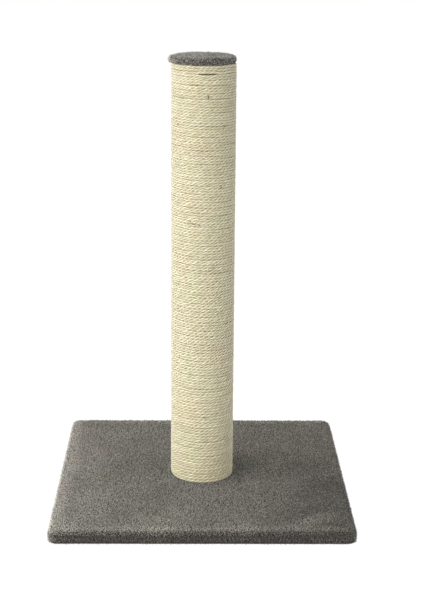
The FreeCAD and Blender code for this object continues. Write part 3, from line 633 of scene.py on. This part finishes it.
def stray_fibres(line, thick, count):
    """Thin fibres that leave the rope's surface, as one mesh."""
    dice = np.random.default_rng(19)
    curve = fibre_curve("stray_fibres", 0.00007, 0)
    for start in dice.integers(3, len(line) - 3, count):
        ahead = line[start + 1] - line[start - 1]
        ahead /= np.linalg.norm(ahead)
        outward = np.array([line[start][0], line[start][1], 0.0])
        outward /= np.linalg.norm(outward)
        up = np.cross(outward, ahead)
        side = dice.uniform(-0.8, 0.8)
        root = line[start] + thick[start] * (math.cos(side) * outward + math.sin(side) * up) * 0.80
        heading = dice.choice((-1, 1)) * ahead + dice.uniform(-0.5, 0.5) * up
        reach, lift = dice.uniform(0.0015, 0.0075), dice.uniform(0.1, 0.62) ** 1.5
        curl = dice.normal(0, 0.35)
        spline = curve.splines.new("POLY")
        spline.points.add(5)
        for index, point in enumerate(spline.points):
            share = index / 5
            raised = outward * lift * share * (1.3 - 0.6 * share)
            offset = heading * share + raised + up * curl * share * share
            point.co = (*(root + offset * reach), 1)
            point.radius = 1 - 0.7 * share
    mesh = mesh_of(curve)
    mesh.shade_smooth()
    return mesh


def bark_fibres():
    """The few dark fibres on the winding's surface, as one mesh."""
    curve = fibre_curve("bark_fibres", 0.00055, 1)
    surface = TUBE_RADIUS + 0.0040
    for degrees, height, length, slope in BARK_FIBRES:
        spline = curve.splines.new("POLY")
        spline.points.add(6)
        for index, point in enumerate(spline.points):
            share = index / 6 - 0.5
            run = length * share * math.cos(math.radians(slope)) + 0.0005 * math.sin(9 * share)
            angle = math.radians(degrees) + run / surface
            rise = length * share * math.sin(math.radians(slope)) + 0.0004 * math.sin(7 * share)
            out = surface + 0.0003 - 0.0012 * share * share
            point.co = (out * math.cos(angle), out * math.sin(angle), height + rise, 1)
            point.radius = 1 - 1.6 * abs(share)
    mesh = mesh_of(curve)
    mesh.shade_smooth()
    return mesh


class POST_OT_wind_rope(bpy.types.Operator):
    """Winds the sisal rope round the tube, turn by turn, with its three strands and stray fibres"""

    bl_idname = "scratching_post.wind_rope"
    bl_label = "Wind the Sisal Rope"

    def execute(self, context):
        rope = context.scene.scratching_post.rope
        line, thick, twist, length = winding(rope)
        profile = rope_profile()
        sisal = sisal_finish(rope)
        turns = (len(line) - 1) // RINGS_PER_TURN
        cuts = [round(turns * part / ROPE_PIECES) * RINGS_PER_TURN for part in range(ROPE_PIECES)]
        cuts.append(len(line) - 1)
        for number, (start, end) in enumerate(zip(cuts, cuts[1:]), start=1):
            rings = slice(start, end + 1)
            mesh = rope_mesh(f"sisal_winding_{number}", line[rings], thick[rings], twist[rings], profile)
            mark_rope(mesh, end + 1 - start, length[rings])
            piece = add_piece(f"sisal_winding_{number}", mesh, sisal)
            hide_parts("sisal_rope")
        bpy.data.objects.remove(profile)
        fibres = stray_fibres(line, thick, rope.stray_fibres)
        add_piece("sisal_stray_fibres", fibres, stray_finish(rope))
        add_piece("sisal_bark_fibres", bark_fibres(), bark_finish())
        print(f"rope: {turns} turns, {length[-1]:.1f} m")
        return {"FINISHED"}


# Plush


def outline_move(point, half, radius, from_inset, to_inset):
    """Moves a point of a rounded square's outline from one inset to another; past the radius it mitres."""
    core = half - radius
    x, y = abs(point[0]), abs(point[1])
    if to_inset < radius and x > core - 1e-7 and y > core - 1e-7:
        away = Vector((x - core, y - core))
        away *= (radius - to_inset) / max(radius - from_inset, 1e-9)
        x, y = core + away.x, core + away.y
    elif to_inset < radius:
        x, y = (half - to_inset, y) if x > y else (x, half - to_inset)
    else:
        limit = half - to_inset
        x, y = (limit, min(y, limit)) if x > y else (min(x, limit), limit)
    return math.copysign(x, point[0]), math.copysign(y, point[1])


def base_sheet():
    """The plush pulled over the board: flat top, tight sides, mitred hem with the staples' dimples."""
    half = BASE_HALF - 0.0021
    radius, bend = 0.0110, 0.0058
    top = POST_FOOT
    cells, ease = 128, 0.93 * math.pi / 2
    sheet = bmesh.new()
    bmesh.ops.create_grid(sheet, x_segments=cells, y_segments=cells, size=1.0)
    inner, core = half - bend, half - radius
    for vertex in sheet.verts:
        x, y = (inner * math.sin(part * ease) / math.sin(ease) for part in vertex.co[:2])
        across, along = abs(x) - core, abs(y) - core
        if across > 0 and along > 0:
            pull = max(across, along) / math.hypot(across, along)
            x = math.copysign(core + across * pull, x)
            y = math.copysign(core + along * pull, y)
        vertex.co = (x, y, top)
    # Inset and height of each ring of the sheet, over the bend, down the side and in under the board.
    bends = (0.45, 0.9, 1.25, math.pi / 2)
    loops = [(bend * (1 - math.sin(a)), top - bend * (1 - math.cos(a))) for a in bends]
    loops += [(0.0, height) for height in (0.0100, 0.0072, 0.0045)]
    loops += [(0.0004, 0.0026), (0.0013, 0.0014), (0.0028, 0.0008), (0.0050, 0.0006)]
    loops += [(0.0085 + 0.0028 * step, 0.0006) for step in range(9)]
    inset = bend
    rim = [edge for edge in sheet.edges if edge.is_boundary]
    for next_inset, height in loops:
        grown = bmesh.ops.extrude_edge_only(sheet, edges=rim)["geom"]
        for vertex in (item for item in grown if isinstance(item, bmesh.types.BMVert)):
            x, y = outline_move(vertex.co, half, radius, inset, next_inset)
            vertex.co = (x, y, height)
        rim = [item for item in grown if isinstance(item, bmesh.types.BMEdge) and item.is_boundary]
        inset = next_inset
    staple_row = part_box("base_hem_staples")[1][0] - 0.0004
    for vertex in sheet.verts:
        x, y, z = vertex.co
        if z < 0.0009:
            across, along = (x, y) if abs(x) > abs(y) else (y, x)
            near = min(math.hypot((along - spot) / 1.5, abs(across) - staple_row) for spot in STAPLE_SPOTS)
            vertex.co.z = z + 0.00045 * math.exp(-((near / 0.0035) ** 2))
            vertex.co.z += 0.00012 * noise.noise(Vector((x, y, 0)) * 90)
        elif z < top - 1e-5:
            wave = 0.00035 * noise.noise(Vector((x, y, 3 * z)) * 28)
            vertex.co.x += math.copysign(wave, x)
            vertex.co.y += math.copysign(wave, y)
        elif math.hypot(x, y) > 0.05:
            open_share = min(1, (math.hypot(x, y) - 0.05) / 0.02)
            vertex.co.z += 0.00035 * noise.noise(Vector((x, y, 0)) * 17) * open_share
    bmesh.ops.remove_doubles(sheet, verts=sheet.verts, dist=1e-5)
    bmesh.ops.recalc_face_normals(sheet, faces=sheet.faces)
    return sheet


def cap_sheet():
    """The plush pulled over the cap's disc and gathered into pleats under it."""
    rim = CAP_RADIUS - 0.0021
    under = CAP_FOOT + 0.0002
    top = DISC_TOP + 0.0017
    side = [(rim - 0.0017, top - 0.0010), (rim - 0.0005, top - 0.0026), (rim, top - 0.0046)]
    side += [(rim - 0.0001, under + 0.0020), (rim - 0.0007, under + 0.0008), (rim - 0.0021, under + 0.0002)]
    section = [(0.0, top + 0.0002), (0.010, top + 0.0002), (0.020, top + 0.0001), (0.030, top)]
    section += [(0.036, top - 0.0002), (0.040, top - 0.0005), *side]
    section += [(0.038, under), (0.032, under), (0.025, under)]
    sheet = bmesh.new()
    points = [sheet.verts.new((across, 0, height)) for across, height in section]
    edges = [sheet.edges.new(pair) for pair in zip(points, points[1:])]
    turned = {"cent": (0, 0, 0), "axis": (0, 0, 1), "angle": 2 * math.pi, "steps": 120, "use_merge": True}
    bmesh.ops.spin(sheet, geom=points + edges, **turned)
    bmesh.ops.remove_doubles(sheet, verts=sheet.verts, dist=1e-5)
    for vertex in sheet.verts:
        across = math.hypot(vertex.co.x, vertex.co.y)
        if across < 1e-6:
            continue
        angle = math.atan2(vertex.co.y, vertex.co.x)
        spot = Vector((math.cos(angle), math.sin(angle), 40 * vertex.co.z)) * 2.2
        if vertex.co.z > under + 0.0001:
            swell = 0.0004 * noise.noise(spot) - 0.0012 * math.cos(angle)
            grow = 1 + swell / across * min(1, across / 0.04)
            vertex.co.x *= grow
            vertex.co.y *= grow
            vertex.co.z += 0.0003 * noise.noise(Vector(vertex.co[:]) * 55) * (vertex.co.z > top - 0.003)
        else:
            pleat = 1 + math.sin(26 * angle + 3 * noise.noise(spot))
            vertex.co.z += 0.00016 * pleat * (0.044 - across) / 0.018
    bmesh.ops.recalc_face_normals(sheet, faces=sheet.faces)
    return sheet


def sheet_piece(name, sheet, plush, material):
    """A sheet of plush with the thickness of its backing."""
    mesh = bpy.data.meshes.new(name)
    sheet.to_mesh(mesh)
    mesh.shade_smooth()
    piece = add_piece(name, mesh, material)
    wall = piece.modifiers.new("Backing", "SOLIDIFY")
    wall.thickness = plush.backing
    wall.offset = -1.0
    wall.use_rim = True
    return piece


def seeds(sheet, per_area, wanted, dice):
    """Random points of those faces of the sheet that are wanted, with the faces' normals."""
    copy = sheet.copy()
    bmesh.ops.triangulate(copy, faces=copy.faces)
    picked = [face for face in copy.faces if face.calc_area() > 1e-12 and wanted(face)]
    corners = np.array([[vertex.co[:] for vertex in face.verts] for face in picked])
    normals = np.array([face.normal[:] for face in picked])
    copy.free()
    first, second = corners[:, 1] - corners[:, 0], corners[:, 2] - corners[:, 0]
    areas = np.linalg.norm(np.cross(first, second), axis=1) / 2
    count = int(areas.sum() * per_area)
    total = np.cumsum(areas) / areas.sum()
    chosen = np.searchsorted(total, (np.arange(count) + dice.random(count)) / count)
    chosen = np.minimum(chosen, len(areas) - 1)
    a, b = dice.random((2, count))
    fold = a + b > 1
    a, b = np.where(fold, 1 - a, a), np.where(fold, 1 - b, b)
    roots = corners[chosen, 0] + a[:, None] * first[chosen] + b[:, None] * second[chosen]
    return roots, normals[chosen]


def unit(vectors):
    """The same directions with a length of 1."""
    return vectors / np.maximum(np.linalg.norm(vectors, axis=1, keepdims=True), 1e-12)


def lying(heading):
    """Level directions at these angles."""
    return np.column_stack([np.cos(heading), np.sin(heading), np.zeros(len(heading))])


def tuft_shape():
    """One tuft: a closed three-sided spike of height 1 and width 1, as points and triangles."""
    spike = bmesh.new()
    bmesh.ops.create_cone(spike, cap_ends=True, segments=3, radius1=0.5, radius2=0.0, depth=1.0)
    bmesh.ops.remove_doubles(spike, verts=spike.verts, dist=1e-6)
    bmesh.ops.translate(spike, verts=spike.verts, vec=(0, 0, 0.5))
    bmesh.ops.recalc_face_normals(spike, faces=spike.faces)
    points = np.array([vertex.co[:] for vertex in spike.verts])
    faces = np.array([[vertex.index for vertex in face.verts] for face in spike.faces])
    spike.free()
    return points, faces


def pile_mesh(name, roots, axes, lengths, widths, shades, floor):
    """Copies of one tuft on these roots, each along its own axis."""
    points, faces = tuft_shape()
    count = len(roots)
    axes = unit(axes)
    aside = unit(np.cross(axes, np.where(np.abs(axes[:, 2:]) > 0.9, (1.0, 0, 0), (0, 0, 1.0))))
    across = np.cross(axes, aside)
    placed = roots[:, None] + (
        points[None, :, 0, None] * (widths[:, None] * aside)[:, None]
        + points[None, :, 1, None] * (widths[:, None] * across)[:, None]
        + points[None, :, 2, None] * (lengths[:, None] * axes)[:, None]
    )
    placed[..., 2] = np.maximum(placed[..., 2], floor)
    corners = (faces[None] + len(points) * np.arange(count)[:, None, None]).reshape(-1, 3)
    mesh = bpy.data.meshes.new(name)
    mesh.from_pydata(placed.reshape(-1, 3), [], corners)
    mesh.attributes.new("tip", "FLOAT", "POINT").data.foreach_set("value", np.tile(points[:, 2], count))
    mesh.attributes.new("shade", "FLOAT", "POINT").data.foreach_set("value", shades.repeat(len(points)))
    side = math.ceil(math.sqrt(count))
    cell = np.stack([np.arange(count) % side, np.arange(count) // side], axis=-1)
    local, strip = np.zeros((len(faces), 3, 2)), 0
    for index, face in enumerate(faces):
        tips = points[face][:, 2] > 0.5
        if tips.any():
            spread = iter((0.03, 0.29))
            local[index] = [(0.16 if tip else next(spread), 0.92 if tip else 0.08) for tip in tips]
            local[index, :, 0] += 0.32 * strip
            strip += 1
        else:
            local[index] = [(0.02, 0.96), (0.05, 0.96), (0.02, 0.99)]
    maps = (local[None] + cell[:, None, None]) / side
    mesh.uv_layers.new(name="OFBake").data.foreach_set("uv", maps.ravel())
    mesh.shade_smooth()
    return mesh


def smooth_field(places, scale, seed):
    """Smooth noise between about -1 and 1 at each place."""
    shift = Vector((seed, 2 * seed, 0))
    return np.array([noise.noise(Vector(place) * scale + shift) for place in places.tolist()])


def edge_shades(roots, normals):
    """Paler pile where it opens over the edge and darker just under it, partly what pile does and partly
    painted highlight and painted shade; painted shade also darkens each side face towards the floor. How
    much, and that the right edge shows little of it, was fitted to the picture and holds some of its light."""
    to_edge = BASE_HALF - np.abs(roots[:, :2]).max(axis=1)
    ragged = 0.0015 * smooth_field(roots, 260.0, 8.0)
    # Paler band over the edge: partly the pile opening there, partly painted highlight, faint on the right.
    fold = bell((to_edge - 0.0125 + ragged) / 0.0075) * (normals[:, 2] > 0.35)
    fold *= np.where(roots[:, 0] > np.abs(roots[:, 1]), 0.1, 1.0)
    # Dark band just under the edge: partly the pile, partly painted shade.
    below = bell((roots[:, 2] - 0.0125) / 0.0020) * (normals[:, 2] < 0.60)
    # Painted shade: each side face darker towards the floor.
    face = np.clip(1 - roots[:, 2] / 0.0105, 0, 1) * (np.abs(normals[:, 2] + 0.2) < 0.55)
    return 0.28 * fold - 0.42 * below - 0.88 * face


def fitted_light(roots, normals):
    """The picture's light written into the pile: a pale rim along the left edge and a slope over the whole
    top. Neither is known to belong to the plush, and both look wrong when the light comes from elsewhere."""
    west = bell((roots[:, 0] + BASE_HALF) / 0.013) * (normals[:, 2] > -0.1)
    across, deep = roots[:, 0] / BASE_HALF, roots[:, 1] / BASE_HALF
    slope = (0.02 - 0.32 * across - 0.10 * deep + 0.26 * across * deep) * (normals[:, 2] > 0.35)
    return 0.58 * west + slope


def brushed_strip_and_painted_light(roots):
    """Paler places: a brushed strip at the front right, and a patch behind that is painted light."""
    across = (roots[:, 0] - 0.150) * 0.50 - (roots[:, 1] + 0.165) * 0.87
    along = (roots[:, 0] - 0.150) * 0.87 + (roots[:, 1] + 0.165) * 0.50
    strip = 0.42 * bell(across / 0.012) * bell(along / 0.045)
    # Painted light: a paler patch behind on the right, where the post's shadow falls.
    back = 0.24 * bell((roots[:, 0] - 0.12) / 0.09) * bell((roots[:, 1] - 0.10) / 0.08)
    return (strip + back) * (roots[:, 2] > 0.014)


def tuft_sizes(count, plush, dice):
    """Length, width and shade of each tuft."""
    lengths = plush.pile_length * dice.uniform(0.75, 1.25, count)
    widths = plush.pile_width * dice.uniform(0.75, 1.3, count)
    return lengths, widths, np.clip(dice.normal(PLAIN_SHADE, 0.22, count), 0, 1)


class POST_OT_cover_base(bpy.types.Operator):
    """Pulls plush over the base board, with its pile, pressed flat under the post and turned under"""

    bl_idname = "scratching_post.cover_base"
    bl_label = "Cover the Base"

    def execute(self, context):
        plush = context.scene.scratching_post.plush
        dice = np.random.default_rng(3)
        sheet = base_sheet()
        cover = sheet_piece("base_plush_sheet", sheet, plush, backing_finish(plush))
        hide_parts("base_plush_cover")
        density = plush.tufts_per_area * 1e4 * 1.0
        roots, normals = seeds(sheet, density, lambda face: face.normal.z > -0.3, dice)
        from_post = np.hypot(roots[:, 0], roots[:, 1])
        open_pile = (from_post > COVERED_RADIUS) | (normals[:, 2] < 0.5)
        roots, normals, from_post = roots[open_pile], normals[open_pile], from_post[open_pile]
        flat = np.clip(normals[:, 2], 0, 1)[:, None]
        turn = 0.9 * smooth_field(roots, 21.0, 3.0) + 0.5 * smooth_field(roots, 85.0, 9.0)
        heading = -math.pi / 2 + 0.35 + 1.3 * turn
        nap = lying(heading) * flat
        nap[:, 2] = -(1 - flat[:, 0])
        outward = unit(roots * (1, 1, 0))
        close = np.clip(1 - (from_post - COVERED_RADIUS) / 0.006, 0, 1)[:, None] * flat
        nap = nap * (1 - close) + outward * close
        lean = (0.75 + 0.35 * smooth_field(roots, 160.0, 5.0)) * (0.25 + 0.75 * flat[:, 0])
        axes = normals + lean[:, None] * nap + dice.normal(0, 0.30, roots.shape)
        lengths, widths, shades = tuft_sizes(len(roots), plush, dice)
        lengths *= 1 + 0.12 * smooth_field(roots, 120.0, 1.0)
        widths *= 0.75 + 0.25 * flat[:, 0]
        shades += edge_shades(roots, normals) + fitted_light(roots, normals) + brushed_strip_and_painted_light(roots)
        shades = np.clip(shades, 0, MOST_SHADE)
        pile = pile_finish(plush, "Plush pile of the base", 1.0, 560.0, 0.40)
        tufts = []
        for number, (east, north) in enumerate(((0, 0), (1, 0), (1, 1), (0, 1)), start=1):
            own = ((roots[:, 0] > 0) == east) & ((roots[:, 1] > 0) == north)
            parts = (part[own] for part in (roots - 0.0003 * normals, axes, lengths, widths, shades))
            mesh = pile_mesh(f"base_pile_{number}", *parts, 0.0004)
            tufts.append(add_piece(f"base_pile_{number}", mesh, pile))
        roots, normals = seeds(sheet, 0.6 * density, lambda face: face.normal.z < -0.3, dice)
        inward = -unit(roots * (1, 1, 0))
        axes = 0.10 * normals + inward + dice.normal(0, 0.25, roots.shape) * (1, 1, 0.1)
        lengths, widths, shades = tuft_sizes(len(roots), plush, dice)
        # Paler than on top, so that the underside isn't black in the little light it gets.
        shades = np.clip(shades + 0.8, 0, MOST_SHADE)
        roots -= 0.0001 * normals
        mesh = pile_mesh("base_hem_pile", roots, axes, lengths, 0.6 * widths, shades, 0.0002)
        tufts.append(add_piece("base_hem_pile", mesh, pile))
        for tuft in tufts:
            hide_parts("base_plush_cover")
        sheet.free()
        return {"FINISHED"}


class POST_OT_cover_cap(bpy.types.Operator):
    """Pulls plush over the cap's disc, with its pile, which is longer to the left and short along the foot"""

    bl_idname = "scratching_post.cover_cap"
    bl_label = "Cover the Cap"

    def execute(self, context):
        plush = context.scene.scratching_post.plush
        dice = np.random.default_rng(11)
        sheet = cap_sheet()
        backing = bpy.data.materials.get("Plush backing") or backing_finish(plush)
        cover = sheet_piece("cap_plush_sheet", sheet, plush, backing)
        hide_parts("cap_plush_cover")
        density = 1.3 * plush.tufts_per_area * 1e4
        roots, normals = seeds(sheet, density, lambda face: face.normal.z > -0.75, dice)
        flat = np.clip(normals[:, 2], 0, 1)[:, None]
        heading = 0.6 + 2.2 * smooth_field(roots, 45.0, 6.0)
        nap = lying(heading) * flat
        nap[:, 2] = 0.5 * (1 - flat[:, 0]) * np.clip((roots[:, 2] - CAP_FOOT) / 0.004, 0, 1)
        axes = normals + 0.6 * nap + dice.normal(0, 0.42, roots.shape)
        lengths, widths, shades = tuft_sizes(len(roots), plush, dice)
        lengths *= 0.88 + 0.22 * smooth_field(roots, 150.0, 4.0)
        west = -roots[:, 0] / np.hypot(roots[:, 0], roots[:, 1])
        low = np.clip((CAP_FOOT + 0.0035 - roots[:, 2]) / 0.0035, 0, 1)
        lengths *= 1 + (0.40 * west + 0.10) * (1 - flat[:, 0]) - 0.38 * low
        # Painted light: the rim is this much paler, only to match the picture.
        shades += 1.45 * (1 - flat[:, 0]) + 0.25 * smooth_field(roots, 70.0, 2.0)
        shades = np.clip(shades, 0, MOST_SHADE)
        roots -= 0.0003 * normals
        mesh = pile_mesh("cap_pile", roots, axes, lengths, widths, shades, CAP_FOOT - 0.0006)
        # Painted shade: the tips are darker than the base's, only to match the picture.
        pile = pile_finish(plush, "Plush pile of the cap", 0.56, 330.0, 0.62)
        tufts = add_piece("cap_pile", mesh, pile)
        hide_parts("cap_plush_cover")
        sheet.free()
        return {"FINISHED"}


# Inner parts


class POST_OT_finish_frame(bpy.types.Operator):
    """Gives the board, plugs, disc, tube and fasteners their wood, paper and steel"""

    bl_idname = "scratching_post.finish_frame"
    bl_label = "Finish the Inner Parts"

    def execute(self, context):
        zinc = steel_finish("Zinc-plated steel", (0.60, 0.61, 0.62), 0.30, 900.0)
        wire = steel_finish("Galvanised wire", (0.54, 0.55, 0.56), 0.34, 2500.0)
        finishes = (
            (chipboard_finish(), ("base_board",)),
            (core_board_finish(), ("post_tube",)),
            (plywood_finish(), ("foot_plug", "top_plug", "cap_disc")),
            (zinc, ("base_bolt", "base_washer", "tee_nut")),
            (wire, ("base_hem_staples", "cap_hem_staples", "rope_end_brads")),
            (wire, ("foot_plug_brads", "top_plug_brads", "cap_brads")),
        )
        for material, nodes in finishes:
            for node in nodes:
                dress(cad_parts[node], material)
        return {"FINISHED"}


# Stage


def soft_lamp(name, place, target, size, power):
    """A square area lamp aimed at a point."""
    data = bpy.data.lights.new(name, "AREA")
    data.size, data.energy = size, power
    lamp = new_object(name, data)
    lamp.location = place
    lamp.rotation_euler = (Vector(target) - Vector(place)).to_track_quat("-Z", "Y").to_euler()


def shown_white(tree):
    """1 for rays that show the stage as it is: from the camera, mirrored or passed through glass."""
    path = tree.nodes.new("ShaderNodeLightPath")
    total = path.outputs["Is Camera Ray"]
    for name in ("Is Glossy Ray", "Is Transmission Ray"):
        node = tree.nodes.new("ShaderNodeMath")
        node.operation = "MAXIMUM"
        tree.links.new(total, node.inputs[0])
        tree.links.new(path.outputs[name], node.inputs[1])
        total = node.outputs[0]
    return total


def white_world(ambient):
    """Even light from all sides that shows as white."""
    world = bpy.data.worlds.new("White studio")
    bpy.context.scene.world = world
    world.use_nodes = True
    tree = world.node_tree
    background = tree.nodes["Background"]
    background.inputs["Color"].default_value = (1, 1, 1, 1)
    strength = tree.nodes.new("ShaderNodeMapRange")
    strength.inputs["To Min"].default_value = ambient
    tree.links.new(shown_white(tree), strength.inputs["Value"])
    tree.links.new(strength.outputs["Result"], background.inputs["Strength"])


def white_floor():
    """A wide floor that shows white and keeps a faint shadow of the object."""
    mesh = bpy.data.meshes.new("floor")
    plate = bmesh.new()
    bmesh.ops.create_grid(plate, x_segments=2, y_segments=2, size=30.0)
    plate.to_mesh(mesh)
    plate.free()
    floor = new_object("floor", mesh)
    finish = Finish("White floor", Roughness=0.9, Specular_IOR_Level=0.0)
    tree = finish.tree
    seen = shown_white(tree)
    dust = finish.grain(finish.place(), 2.0)
    tone = finish.ramp(dust, (0.0, (0.80, 0.80, 0.80)), (1.0, (0.82, 0.82, 0.82)))
    finish.done(finish.blend(seen, tone, (0.14, 0.14, 0.14)))
    strength = finish.work("MULTIPLY", seen, 0.93)
    glow = finish.add("ShaderNodeEmission", {"Color": (1, 1, 1, 1), "Strength": strength})
    both = finish.add("ShaderNodeAddShader", {0: finish.shader.outputs[0], 1: glow.outputs[0]})
    tree.links.new(both.outputs[0], tree.nodes["Material Output"].inputs["Surface"])
    dress(floor, finish.material)


def set_camera(studio):
    """The camera as it was fitted to the object's outline in the picture."""
    pitch, yaw, roll = CAMERA_PITCH, CAMERA_YAW, CAMERA_ROLL
    ahead = Vector((math.sin(yaw) * math.cos(pitch), math.cos(yaw) * math.cos(pitch), -math.sin(pitch)))
    right = Vector((math.cos(yaw), -math.sin(yaw), 0))
    up = right.cross(ahead)
    camera_x = math.cos(roll) * right + math.sin(roll) * up
    camera_y = -math.sin(roll) * right + math.cos(roll) * up
    data = bpy.data.cameras.new("Camera")
    data.sensor_fit = "VERTICAL"
    data.sensor_height = 36.0
    data.lens = studio.camera_lens
    data.clip_end = 100.0
    camera = new_object("Camera", data)
    turned = Matrix((camera_x, camera_y, -ahead)).transposed().to_4x4()
    camera.matrix_world = Matrix.Translation(CAMERA_PLACE) @ turned
    bpy.context.scene.camera = camera


class POST_OT_set_stage(bpy.types.Operator):
    """Sets up the white floor, the soft lamps and the camera"""

    bl_idname = "scratching_post.set_stage"
    bl_label = "Set the Stage"

    def execute(self, context):
        studio = context.scene.scratching_post.studio
        context.scene.view_settings.view_transform = "Standard"
        white_world(studio.ambient)
        white_floor()
        for name, place, target, size, power in LAMPS:
            soft_lamp(name, place, target, size, getattr(studio, power))
        set_camera(studio)
        return {"FINISHED"}


class POST_PT_sidebar(bpy.types.Panel):
    """Builds the scratching post step by step"""

    bl_label = "Scratching Post"
    bl_space_type = "VIEW_3D"
    bl_region_type = "UI"
    bl_category = "Scratching Post"

    def draw(self, context):
        settings = context.scene.scratching_post
        for title, group in (("Rope", settings.rope), ("Plush", settings.plush), ("Studio", settings.studio)):
            box = self.layout.box()
            box.label(text=title)
            for name in type(group).__annotations__:
                box.prop(group, name)
        for operator in OPERATORS:
            self.layout.operator(operator.bl_idname)


SETTINGS = (RopeSettings, PlushSettings, StudioSettings, PostSettings)
OPERATORS = (
    POST_OT_cover_base,
    POST_OT_cover_cap,
    POST_OT_wind_rope,
    POST_OT_finish_frame,
    POST_OT_set_stage,
)


def register():
    for kind in (*SETTINGS, *OPERATORS, POST_PT_sidebar):
        bpy.utils.register_class(kind)
    bpy.types.Scene.scratching_post = bpy.props.PointerProperty(type=PostSettings)


def unregister():
    del bpy.types.Scene.scratching_post
    for kind in reversed((*SETTINGS, *OPERATORS, POST_PT_sidebar)):
        bpy.utils.unregister_class(kind)


def main():
    register()
    bpy.ops.scratching_post.cover_base()
    bpy.ops.scratching_post.cover_cap()
    bpy.ops.scratching_post.wind_rope()
    bpy.ops.scratching_post.finish_frame()
    bpy.ops.scratching_post.set_stage()


if __name__ == "__main__":
    main()
